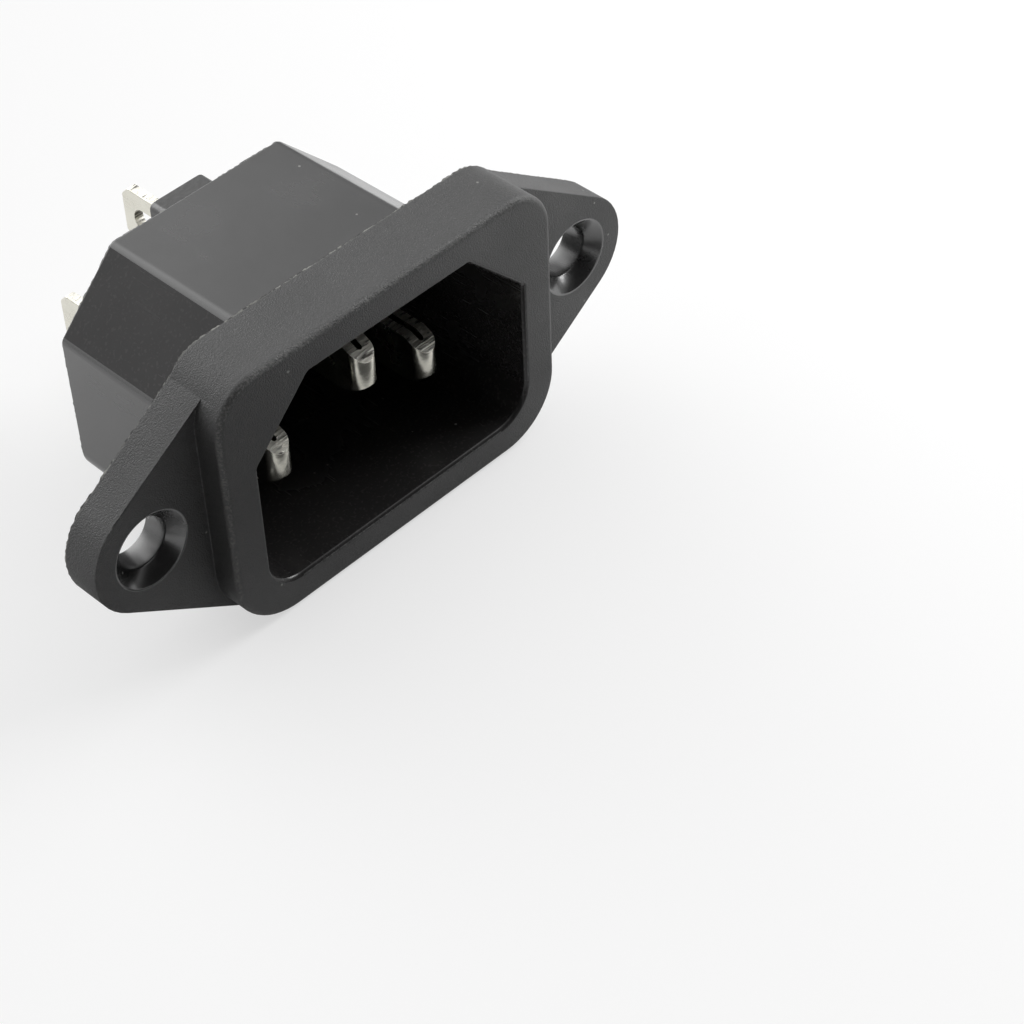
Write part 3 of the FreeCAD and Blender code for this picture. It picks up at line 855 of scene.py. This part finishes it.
# %% Helpers for node trees
def add(tree, kind, values=None, **settings):
    """New node with its settings, and values for some of its inputs."""
    made = tree.nodes.new("ShaderNode" + kind)
    for name, value in settings.items():
        setattr(made, name, value)
    for name, value in (values or {}).items():
        made.inputs[name].default_value = value
    return made


def new_group(name, inputs, outputs):
    """Empty shader group with named number sockets; gives its tree and its two ends."""
    tree = bpy.data.node_groups.new(name, "ShaderNodeTree")
    for socket, value in inputs.items():
        made = tree.interface.new_socket(socket, in_out="INPUT", socket_type="NodeSocketFloat")
        made.default_value = value
    for socket in outputs:
        tree.interface.new_socket(socket, in_out="OUTPUT", socket_type="NodeSocketFloat")
    return tree, tree.nodes.new("NodeGroupInput"), tree.nodes.new("NodeGroupOutput")


def millimetres(tree):
    """Socket with the place on the object, in millimetres."""
    place = add(tree, "TexCoord")
    scaled = add(tree, "VectorMath", {"Scale": 1000.0}, operation="SCALE")
    tree.links.new(place.outputs["Object"], scaled.inputs["Vector"])
    return scaled.outputs["Vector"]


def maths(tree, operation, first, second, clamp=False):
    """One Math node; each side is a socket or a plain number."""
    made = add(tree, "Math", operation=operation, use_clamp=clamp)
    for side, value in zip(made.inputs, (first, second)):
        if isinstance(value, (int, float)):
            side.default_value = value
        else:
            tree.links.new(value, side)
    return made.outputs[0]


def between(tree, value, low, high, top=1.0):
    """Smooth step from 0 to top as a value goes from low to high."""
    made = add(tree, "MapRange", {"From Min": low, "From Max": high, "To Max": top},
               interpolation_type="SMOOTHSTEP")
    tree.links.new(value, made.inputs["Value"])
    return made.outputs["Result"]


print("node helpers:", ", ".join(f.__name__ for f in (add, new_group, millimetres, maths, between)))

# %% [markdown]
# ### Spark-eroded grain
#
# The mould was finished by spark erosion, which leaves small overlapping craters, and the plastic
# copies them as a fine orange peel. One noise alone looks like sand, so the height is a noise mixed
# with the distance to scattered crater centres. The second output is a mask of a few grains. The
# materials paint these brighter as painted glints, where they would catch the light.

# %% Group: spark_eroded_grain
tree, ends, out = new_group("spark_eroded_grain", {"Grain size": 0.2}, ["Height", "Sparkle"])
place = add(tree, "VectorMath", operation="DIVIDE")
size_vector = add(tree, "CombineXYZ")
for axis in "XYZ":
    tree.links.new(ends.outputs["Grain size"], size_vector.inputs[axis])
tree.links.new(millimetres(tree), place.inputs[0])
tree.links.new(size_vector.outputs[0], place.inputs[1])
peel = add(tree, "TexNoise", {"Scale": 1.0, "Detail": 2.5, "Roughness": 0.6})
craters = add(tree, "TexVoronoi", {"Scale": 0.8})
sparks = add(tree, "TexNoise", {"Scale": 1.7, "Detail": 1.0})
for texture in (peel, craters, sparks):
    tree.links.new(place.outputs["Vector"], texture.inputs["Vector"])
bowl = maths(tree, "MULTIPLY", craters.outputs["Distance"], 0.5)
tree.links.new(maths(tree, "ADD", peel.outputs["Fac"], bowl), out.inputs["Height"])
tree.links.new(between(tree, sparks.outputs["Fac"], 0.57, 0.7), out.inputs["Sparkle"])
SPARK_ERODED_GRAIN = tree
print(tree.name, "has", len(tree.nodes), "nodes")

# %% [markdown]
# ### Drag lines
#
# A moulding is pushed out of its tool, a strip is sheared by a punch, and both leave lines
# along the way they moved. A noise squeezed along two axes and stretched along the third
# draws such lines. The three inputs say how many lines there are per millimetre along x, y
# and z, so the same group serves a wall and a sheared edge.

# %% Group: drag_lines
tree, ends, out = new_group("drag_lines", {"Per mm x": 4.0, "Per mm y": 0.1, "Per mm z": 4.0},
                            ["Height", "Lines"])
rate = add(tree, "CombineXYZ")
for axis in "xyz":
    tree.links.new(ends.outputs["Per mm " + axis], rate.inputs[axis.upper()])
place = add(tree, "VectorMath", operation="MULTIPLY")
tree.links.new(millimetres(tree), place.inputs[0])
tree.links.new(rate.outputs[0], place.inputs[1])
scratch = add(tree, "TexNoise", {"Scale": 1.0, "Detail": 3.0, "Roughness": 0.65})
tree.links.new(place.outputs["Vector"], scratch.inputs["Vector"])
tree.links.new(scratch.outputs["Fac"], out.inputs["Height"])
tree.links.new(between(tree, scratch.outputs["Fac"], 0.52, 0.68), out.inputs["Lines"])
DRAG_LINES = tree
print(tree.name, "has", len(tree.nodes), "nodes")

# %% [markdown]
# ### Painted edge highlights
#
# The thin light line along each edge is what makes a black part readable. Here it is painted into
# the colour as a painted highlight, in dots rather than an even line. The Bevel node gives the
# normal that a rounded edge would have. Where it differs from the real normal there is an edge
# nearby, and a noise breaks that band into dots. A rim that is already rolled over in the mesh is
# found by its normal, which leans between front and side, and gets the same painted highlight.

# %% Group: painted_edge_highlights
tree, ends, out = new_group("painted_edge_highlights", {"Width mm": 0.2, "Cover": 0.5, "Rolled": 0.0},
                            ["Mask"])
rounded_normal = add(tree, "Bevel", samples=4)
tree.links.new(maths(tree, "MULTIPLY", ends.outputs["Width mm"], 0.001),
               rounded_normal.inputs["Radius"])
real_normal = add(tree, "NewGeometry")
turn = add(tree, "VectorMath", operation="DOT_PRODUCT")
tree.links.new(rounded_normal.outputs["Normal"], turn.inputs[0])
tree.links.new(real_normal.outputs["Normal"], turn.inputs[1])
band = between(tree, maths(tree, "SUBTRACT", 1.0, turn.outputs["Value"]), 0.02, 0.16)
lean = add(tree, "SeparateXYZ")
tree.links.new(real_normal.outputs["Normal"], lean.inputs[0])
square = maths(tree, "MULTIPLY", lean.outputs["Y"], lean.outputs["Y"])
rolled = maths(tree, "MULTIPLY", square, maths(tree, "SUBTRACT", 1.0, square))
rolled = maths(tree, "MULTIPLY", between(tree, rolled, 0.03, 0.2), ends.outputs["Rolled"])
band = maths(tree, "MAXIMUM", band, rolled)
dots = add(tree, "TexNoise", {"Scale": 5.0, "Detail": 3.0, "Roughness": 0.7})
tree.links.new(millimetres(tree), dots.inputs["Vector"])
level = maths(tree, "SUBTRACT", 1.0, ends.outputs["Cover"])
excess = maths(tree, "SUBTRACT", dots.outputs["Fac"], maths(tree, "MULTIPLY", level, 0.9))
broken = maths(tree, "MULTIPLY", excess, 9.0, clamp=True)
tree.links.new(maths(tree, "MULTIPLY", band, broken), out.inputs["Mask"])
PAINTED_EDGE_HIGHLIGHTS = tree
print(tree.name, "has", len(tree.nodes), "nodes")

# %% [markdown]
# ### Dust and cloudiness
#
# A few specks of dust lie on every black part. They are the cells of a Voronoi texture
# whose random value is high, kept only near their centres. The same group gives a slow,
# cloudy value that varies the gloss from place to place.

# %% Group: specks_and_clouds
tree, ends, out = new_group("specks_and_clouds", {"Spacing mm": 1.2, "Share": 0.2, "Cloud mm": 8.0},
                            ["Specks", "Clouds"])
place = millimetres(tree)


def divided(value):
    """Place divided by a length from the group's inputs."""
    sides = add(tree, "CombineXYZ")
    for axis in "XYZ":
        tree.links.new(value, sides.inputs[axis])
    made = add(tree, "VectorMath", operation="DIVIDE")
    tree.links.new(place, made.inputs[0])
    tree.links.new(sides.outputs[0], made.inputs[1])
    return made.outputs["Vector"]


cells = add(tree, "TexVoronoi", {"Scale": 1.0})
tree.links.new(divided(ends.outputs["Spacing mm"]), cells.inputs["Vector"])
chance = add(tree, "SeparateColor")
tree.links.new(cells.outputs["Color"], chance.inputs["Color"])
picked = maths(tree, "GREATER_THAN", ends.outputs["Share"], chance.outputs["Red"])
near = between(tree, cells.outputs["Distance"], 0.1, 0.05)
tree.links.new(maths(tree, "MULTIPLY", picked, near), out.inputs["Specks"])
clouds = add(tree, "TexNoise", {"Scale": 1.0, "Detail": 3.0, "Roughness": 0.55})
tree.links.new(divided(ends.outputs["Cloud mm"]), clouds.inputs["Vector"])
tree.links.new(between(tree, clouds.outputs["Fac"], 0.3, 0.7), out.inputs["Clouds"])
SPECKS_AND_CLOUDS = tree
print(tree.name, "has", len(tree.nodes), "nodes")


# %% [markdown]
# ## Helpers for materials
#
# The groups give masks, heights and values, and each material mixes them itself. A number
# that is the same all over a surface, such as the index of refraction, is typed into the
# shader's own socket. It could come through a Value node too, but an export to another
# program reads only what stands on the socket.


# %% Materials, effects, mixed colours and bumps
def new_material(name, **constants):
    """Material with one Principled BSDF, whose constant values are set on the shader itself."""
    made = bpy.data.materials.new(name)
    made.use_nodes = True
    shader = made.node_tree.nodes["Principled BSDF"]
    for socket, value in constants.items():
        shader.inputs[socket.replace("_", " ")].default_value = value
    return made, made.node_tree, shader


def effect(tree, group, **values):
    """One of the groups above, placed in a material with its own values."""
    made = add(tree, "Group")
    made.node_tree = group
    for socket, value in values.items():
        made.inputs[socket.replace("_", " ")].default_value = value
    return made


def shade(tree, fac, first, second):
    """Colour between two colours, by a mask."""
    made = add(tree, "Mix", data_type="RGBA")
    for socket, value in ((made.inputs[6], first), (made.inputs[7], second)):
        if isinstance(value, tuple):
            socket.default_value = value + (1.0,)
        else:
            tree.links.new(value, socket)
    tree.links.new(fac, made.inputs[0])
    return made.outputs[2]


def bump(tree, shader, layers):
    """Chain of Bump nodes, one for each (height socket, depth in millimetres)."""
    last = None
    for height, depth in layers:
        made = add(tree, "Bump", {"Strength": 1.0, "Distance": depth * MM})
        tree.links.new(height, made.inputs["Height"])
        if last:
            tree.links.new(last, made.inputs["Normal"])
        last = made.outputs["Normal"]
    tree.links.new(last, shader.inputs["Normal"])


print("material helpers:", ", ".join(f.__name__ for f in (new_material, effect, shade, bump)))

# %% [markdown]
# ## The black moulding
#
# The plastic is the same everywhere, but the mould isn't. The collar and the ears were
# spark eroded, so they are matt. The barrel, the hollows behind the ears and the screw
# holes were polished, so they shine. The recess is polished too and gets hardly any light.
# One material could mix all of these by masks. Giving each zone of faces its own material
# keeps every one of them simple, and the border between two finishes falls exactly on an
# edge, as it does on a real mould.


# %% Black plastic
DUST = (0.2, 0.2, 0.19)
DUST_SPACING = 1.3
DUST_SHARE = 0.16
CLOUD_SIZE = 7.0
CLOUD_DEPTH = 0.006
CLOUD_GLOSS = 0.08
LINE_GLOSS = 0.02
# the painted highlight along edges: its width, the share of the pale colour, and the roughness it
# adds
EDGE_HIGHLIGHT_WIDTH = 0.22
EDGE_HIGHLIGHT_SHARE = 0.7
EDGE_HIGHLIGHT_ROUGHNESS = 0.2


def plastic(name, base, pale, rough, grain, grain_depth, lines, cover, ior=1.9, spark=1.6,
            rolled=0.0):
    """Black plastic: grain with painted glints, drag lines, cloudy gloss, a painted highlight along
    the edges and a few specks of dust.
    """
    made, tree, shader = new_material(name, IOR=ior)
    grains = effect(tree, SPARK_ERODED_GRAIN, Grain_size=grain)
    drag = effect(tree, DRAG_LINES, Per_mm_x=lines[0], Per_mm_y=lines[1], Per_mm_z=lines[2])
    dirt = effect(tree, SPECKS_AND_CLOUDS, Spacing_mm=DUST_SPACING, Share=DUST_SHARE,
                  Cloud_mm=CLOUD_SIZE)
    edges = effect(tree, PAINTED_EDGE_HIGHLIGHTS, Width_mm=EDGE_HIGHLIGHT_WIDTH, Cover=cover, Rolled=rolled)
    # painted glints: the grains in the Sparkle mask get a base colour spark times brighter
    colour = shade(tree, grains.outputs["Sparkle"], base, tuple(spark * c for c in base))
    # painted highlight: the pale colour in dots along the edges and on the rolled rims
    colour = shade(tree, maths(tree, "MULTIPLY", edges.outputs["Mask"], EDGE_HIGHLIGHT_SHARE), colour, pale)
    colour = shade(tree, dirt.outputs["Specks"], colour, DUST)
    tree.links.new(colour, shader.inputs["Base Color"])
    cloudy = maths(tree, "MULTIPLY", dirt.outputs["Clouds"], CLOUD_GLOSS)
    lined = maths(tree, "MULTIPLY", drag.outputs["Lines"], LINE_GLOSS)
    highlight_roughness = maths(tree, "MULTIPLY", edges.outputs["Mask"], EDGE_HIGHLIGHT_ROUGHNESS)
    uneven = maths(tree, "ADD", maths(tree, "ADD", cloudy, lined), highlight_roughness)
    tree.links.new(maths(tree, "ADD", uneven, rough), shader.inputs["Roughness"])
    bump(tree, shader, [(grains.outputs["Height"], grain_depth),
                        (drag.outputs["Height"], 0.25 * grain_depth),
                        (dirt.outputs["Clouds"], CLOUD_DEPTH)])
    return made


print("dust lies in about %.0f %% of the cells of %.1f mm" % (100 * DUST_SHARE, DUST_SPACING))

# %% The four finishes of the moulding
# the second colour of each finish is the colour of its painted edge highlight
EDGE_HIGHLIGHT_COLOUR = (0.12, 0.12, 0.115)
# spark scales each finish's painted glints, and the eroded finish glints most
ERODED = plastic("eroded_plastic", (0.007, 0.007, 0.007), (0.11, 0.11, 0.105), rough=0.48,
                 grain=0.1, grain_depth=0.045, lines=(3.0, 3.0, 3.0), cover=0.47, ior=1.78,
                 spark=9.0, rolled=1.0)
POLISHED = plastic("polished_plastic", (0.016, 0.016, 0.016), EDGE_HIGHLIGHT_COLOUR, rough=0.2,
                   grain=0.16, grain_depth=0.0015, lines=(1.2, 0.08, 1.2), cover=0.45, ior=2.1)
RECESSED = plastic("recess_plastic", (0.024, 0.023, 0.023), (0.05, 0.05, 0.05), rough=0.2,
                   grain=0.4, grain_depth=0.001, lines=(3.0, 0.12, 3.0), cover=0.3, ior=1.5)
SCORED = plastic("scored_plastic", (0.010, 0.010, 0.010), EDGE_HIGHLIGHT_COLOUR, rough=0.34,
                 grain=0.3, grain_depth=0.02, lines=(7.0, 0.5, 7.0), cover=0.5)
ZONES = [ERODED, POLISHED, RECESSED, SCORED]
print("plastics:", [m.name for m in ZONES])

# %% [markdown]
# ### Which finish each face has
#
# The zones could be painted as masks, but each one ends at an edge of the moulding. So the
# middle and the direction of a face say which zone it is in, from the sizes above and a
# small margin for the rounded edges.

# %% Zones of the mould
MARGIN = 0.2
SINK_MARGIN = 0.12
EAR_HOLLOW = -2.2
RIM_BACK = -2.5
FORWARDS = -0.99


def lozenge_inset(x, z):
    """How far a point lies inside the ears' outline."""
    x, z = abs(x), abs(z)
    side = SCREW_X * slant + EAR_RADIUS - x * slant - z * math.cos(EAR_SLOPE)
    if x > SCREW_X:
        side = min(side, EAR_RADIUS - math.hypot(x - SCREW_X, z))
    return side


def in_recess(x, y, z):
    """Whether a point is on the wall or the floor of the recess."""
    return (COLLAR_FRONT + 0.02 < y < RECESS_FLOOR + MARGIN and abs(x) < RECESS_SIDE + MARGIN
            and abs(z) < RECESS_TOP + MARGIN)


def finish_of(face):
    """The finish of one face of the moulding, from where it is."""
    x, y, z = face.center / MM
    outward = face.normal
    if in_recess(x, y, z):
        return RECESSED
    if math.hypot(abs(x) - SCREW_X, z) < SINK_RADIUS + SINK_MARGIN and outward.y > FORWARDS:
        return POLISHED
    if y > BARREL_BACK + 0.1:
        return SCORED
    if y > 0.05 or (outward.y > 0.5 and y > RIM_BACK):
        return POLISHED
    if (y > EAR_HOLLOW and abs(x) > COLLAR_SIDE - 2 and lozenge_inset(x, z) > 0.3
            and abs(z) < COLLAR_TOP - 1):
        return POLISHED
    return ERODED


housing.data.materials.clear()
for material in ZONES:
    housing.data.materials.append(material)
for face in housing.data.polygons:
    face.material_index = ZONES.index(finish_of(face))
print("faces of each finish:", {
    zone.name: sum(face.material_index == i for face in housing.data.polygons)
    for i, zone in enumerate(ZONES)})

# %% [markdown]
# ### Torn plastic
#
# The fins are of the same plastic, but its torn surface scatters light, so they are pale in
# some places and black in others. A random colour for each face would flicker between
# neighbours, so the grain and the clouds from above decide where a fin is pale.

# %% Material of the fins
TORN_BLACK = (0.010, 0.010, 0.010)
TORN_PALE = (0.24, 0.24, 0.22)
TORN, tree, shader = new_material("torn_plastic", IOR=1.5, Roughness=0.6)
tears = effect(tree, SPARK_ERODED_GRAIN, Grain_size=0.3)
patches = effect(tree, SPECKS_AND_CLOUDS, Spacing_mm=1.0, Share=0.0, Cloud_mm=2.5)
pale = maths(tree, "MULTIPLY", between(tree, tears.outputs["Height"], 0.6, 0.85),
             maths(tree, "ADD", patches.outputs["Clouds"], 0.25), clamp=True)
tree.links.new(shade(tree, pale, TORN_BLACK, TORN_PALE), shader.inputs["Base Color"])
bump(tree, shader, [(tears.outputs["Height"], 0.03)])
for piece in flashes:
    piece.data.materials.append(TORN)
print("fins:", [piece.name for piece in flashes])

# %% [markdown]
# ## Plated strip
#
# The contacts are brass strip with a bright nickel plating, which is slightly warm. The
# plating was there before the strip was sheared, so the cut edges show the punch's lines,
# and at the ends of each shoulder the last nip has left bare brass. The rolled faces are
# smooth with faint cloudiness. Real metal reflects the room, so no colour is painted on it
# beyond the tint of the plating.

# %% Metals
SPECK_SHARE = 0.6
CLOUD_SHARE = 0.12


def strip_metal(name, tint, dark, rough, lines, depth, share):
    """Metal with lines along one direction and a cloudy gloss."""
    made, tree, shader = new_material(name, Metallic=1.0)
    drag = effect(tree, DRAG_LINES, Per_mm_x=lines[0], Per_mm_y=lines[1], Per_mm_z=lines[2])
    dirt = effect(tree, SPECKS_AND_CLOUDS, Spacing_mm=0.9, Share=0.1, Cloud_mm=2.5)
    colour = tint
    for mask, most in ((drag.outputs["Lines"], share), (dirt.outputs["Specks"], SPECK_SHARE),
                       (dirt.outputs["Clouds"], CLOUD_SHARE)):
        colour = shade(tree, maths(tree, "MULTIPLY", mask, most), colour, dark)
    tree.links.new(colour, shader.inputs["Base Color"])
    uneven = maths(tree, "MULTIPLY", dirt.outputs["Clouds"], 0.1)
    tree.links.new(maths(tree, "ADD", uneven, rough), shader.inputs["Roughness"])
    bump(tree, shader, [(drag.outputs["Height"], depth), (dirt.outputs["Clouds"], 0.02)])
    return made


PLATED = strip_metal("nickel_plating", (0.80, 0.785, 0.70), (0.45, 0.43, 0.36), rough=0.2,
                     lines=(2.0, 0.3, 2.0), depth=0.004, share=0.12)
SHEARED = strip_metal("sheared_edge", (0.95, 0.93, 0.85), (0.05, 0.045, 0.04), rough=0.46,
                      lines=(0.6, 3.5, 3.5), depth=0.22, share=0.9)
BRASS = strip_metal("bare_brass", (0.80, 0.52, 0.13), (0.30, 0.17, 0.04), rough=0.32,
                    lines=(0.8, 5.0, 5.0), depth=0.04, share=0.6)
METALS = [PLATED, SHEARED, BRASS]
print("metals:", [m.name for m in METALS])


# %% Which metal each face shows
def metal_of(face, middle, drop):
    """The metal of one face of a contact whose middle height is given."""
    height = face.center.z / MM - middle
    y = face.center.y / MM
    if abs(face.normal.x) > 0.55:
        return PLATED
    if abs(height + drop) > SHOULDER_HALF - MARGIN and BLOCK_BACK < y < SHOULDER_END + 0.1:
        return BRASS
    if abs(face.normal.z) > 0.35 or y > BLOCK_BACK:
        return SHEARED
    return PLATED


for piece, (_, _, middle, drop) in zip(contacts, CONTACTS):
    piece.data.materials.clear()
    for material in METALS:
        piece.data.materials.append(material)
    for face in piece.data.polygons:
        face.material_index = METALS.index(metal_of(face, middle, drop))
    print(piece.name, "shows",
          [METALS[i].name for i in sorted({face.material_index for face in piece.data.polygons})])

# %% [markdown]
# ## White sheet
#
# The part lies on a white sheet. The sheet has to look plain white, yet a black part shows
# whatever it mirrors, and a bright sheet would put a glare on every face that looks down.
# More light would whiten the sheet and wash out the part as well. So the sheet is matt paper
# under the same light as the part, with a share of plain white glow that only the camera's
# own rays see in full. Mirrored rays see a small share of it. The paper's own part of the
# mix still carries the shadow.

# %% Floor
FLOOR_HALF = 3.0
FLOOR_GAP = 0.02
GLOW_SEEN = 0.6
GLOW_MIRRORED = 0.08

floor_mesh = bpy.data.meshes.new("floor")
floor_mesh.from_pydata([(x, y, 0) for x, y in rectangle(-FLOOR_HALF, -FLOOR_HALF,
                                                        FLOOR_HALF, FLOOR_HALF)],
                       [], [(0, 1, 2, 3)])
floor = placed("floor", floor_mesh)
floor.location.z = -(COLLAR_TOP + FLOOR_GAP) * MM
print("floor at z = %.2f mm" % (floor.location.z / MM))


# %% Material of the sheet
def blended(tree, share, first, second):
    """Send a mix of two shaders to the material's output."""
    blend = add(tree, "MixShader")
    tree.links.new(share, blend.inputs[0])
    tree.links.new(first.outputs[0], blend.inputs[1])
    tree.links.new(second.outputs[0], blend.inputs[2])
    tree.links.new(blend.outputs[0], tree.nodes["Material Output"].inputs["Surface"])


paper, tree, shader = new_material("white_sheet", Roughness=0.9, Specular_IOR_Level=0.0,
                                   Base_Color=(0.9, 0.9, 0.9, 1.0))
glow = add(tree, "Emission", {"Color": (1.0, 1.0, 1.0, 1.0), "Strength": 1.0})
rays = add(tree, "LightPath")
mirrored = maths(tree, "MAXIMUM", rays.outputs["Is Glossy Ray"],
                 rays.outputs["Is Transmission Ray"])
blended(tree, maths(tree, "MAXIMUM",
                    maths(tree, "MULTIPLY", rays.outputs["Is Camera Ray"], GLOW_SEEN),
                    maths(tree, "MULTIPLY", mirrored, GLOW_MIRRORED)), shader, glow)
floor_mesh.materials.append(paper)
print("glow on the sheet: %.2f seen, %.2f mirrored" % (GLOW_SEEN, GLOW_MIRRORED))

# %% [markdown]
# ## Studio
#
# Large soft boxes stand round a glossy product, and each shows as a soft highlight on the
# faces that mirror it. They could be area lamps, each with a place and a size. The part is
# so small that only their directions matter, so the room's own brightness is made to depend
# on the direction instead. Each box is given by its azimuth and height in degrees and its
# strength, and fades out smoothly from its middle. The strongest stands low behind the part,
# weaker ones stand to the right and above, and the front has none, so the tops of the part
# are lighter than its front.

# %% Room
# azimuth from +X towards +Y, height above the sheet, strength
SOFT_BOXES = [(0, 8, 0.4), (45, 8, 0.4), (90, 8, 2.6), (0, 33, 0.5), (90, 33, 0.85),
              (0, 58, 0.45), (48, 46, 0.15), (120, 58, 0.5), (0, 88, 0.45), (150, 15, 0.7)]
BOX_EDGE = math.cos(math.radians(40))
BOX_FULL = math.cos(math.radians(14))
ROOM_BASE = 0.02

world = bpy.data.worlds.new("studio")
world.use_nodes = True
bpy.context.scene.world = world
tree = world.node_tree
direction = add(tree, "TexCoord")
total = ROOM_BASE
for azimuth, elevation, strength in SOFT_BOXES:
    turn, rise = math.radians(azimuth), math.radians(elevation)
    facing = add(tree, "VectorMath", operation="DOT_PRODUCT")
    tree.links.new(direction.outputs["Generated"], facing.inputs[0])
    facing.inputs[1].default_value = (math.cos(turn) * math.cos(rise),
                                      math.sin(turn) * math.cos(rise), math.sin(rise))
    total = maths(tree, "ADD", between(tree, facing.outputs["Value"], BOX_EDGE, BOX_FULL,
                                       strength), total)
tree.links.new(total, tree.nodes["Background"].inputs["Strength"])
tree.nodes["Background"].inputs["Color"].default_value = (1, 1, 1, 1)
print(len(SOFT_BOXES), "soft boxes")

# %% [markdown]
# ### Lamp on the right
#
# The soft boxes are so wide that a bend or a rolled rim mirrors them as a blur. One compact
# lamp near the part, on its right and a little in front, gives these a clearer highlight and
# throws a soft shadow to the left. A Sun lamp would light the whole part alike, while a near
# lamp fades across it. Its power is worked out from its brightness and its area, so that
# its width can change without changing how bright it looks in a mirror.

# %% Right lamp
LAMP_TOWARDS = Vector((0.8, -0.15, 0.5)).normalized()
LAMP_DISTANCE = 0.2
LAMP_WIDTH = 0.1
LAMP_RADIANCE = 7.0

lamp = bpy.data.lights.new("right_lamp", "AREA")
lamp.shape = "SQUARE"
lamp.size = LAMP_WIDTH
lamp.energy = LAMP_RADIANCE * math.pi * LAMP_WIDTH * LAMP_WIDTH
holder = placed("right_lamp", lamp)
holder.location = LAMP_TOWARDS * LAMP_DISTANCE
holder.rotation_euler = LAMP_TOWARDS.to_track_quat("Z", "Y").to_euler()
holder.visible_camera = False
print("%s: %.2f W" % (lamp.name, lamp.energy))

# %% [markdown]
# ### Cards of painted shadow
#
# Two soft-edged black cards lie on the sheet in front and to the left, where the part's shadow
# falls. They paint a deeper shadow into what the glossy faces mirror. Turning the lamps down would
# darken everything, but a card only takes away what the surfaces facing it mirror. Only glossy rays
# meet them, so they neither show nor throw a shadow.


# %% Cards
CARD_GAP = 0.1
CARD_RIM = 0.7


def shadow_card(name, x, y, half_x, half_y, density):
    """Black card with a faded rim, lying on the sheet and met by glossy rays alone: a painted
    shadow in reflections.
    """
    mesh = bpy.data.meshes.new(name)
    mesh.from_pydata([(x, y, 0) for x, y in rectangle(-1, -1, 1, 1)], [], [(0, 1, 2, 3)])
    card = placed(name, mesh)
    card.location = (x * MM, y * MM, floor.location.z + CARD_GAP * MM)
    card.scale = (half_x * MM, half_y * MM, 1)
    black, tree, shader = new_material(name, Base_Color=(0.0, 0.0, 0.0, 1.0), Roughness=1.0,
                                       Specular_IOR_Level=0.0)
    place = add(tree, "TexCoord")
    away = add(tree, "VectorMath", operation="LENGTH")
    tree.links.new(place.outputs["Object"], away.inputs[0])
    blended(tree, between(tree, away.outputs["Value"], 1.0, CARD_RIM, density),
            add(tree, "BsdfTransparent"), shader)
    mesh.materials.append(black)
    card.visible_camera = False
    card.visible_diffuse = False
    card.visible_shadow = False
    card.visible_transmission = False
    print("%s at (%.0f, %.0f) mm" % (name, x, y))


# painted shadow in the reflections of the part's front and left faces
shadow_card("front_shadow_card", -3, -30, half_x=30, half_y=21.5, density=0.92)
shadow_card("left_shadow_card", -36, -6, half_x=20, half_y=16, density=0.7)

# %% [markdown]
# ## View
#
# The Standard view keeps each colour about as it is written.

# %% View
bpy.context.scene.view_settings.view_transform = "Standard"
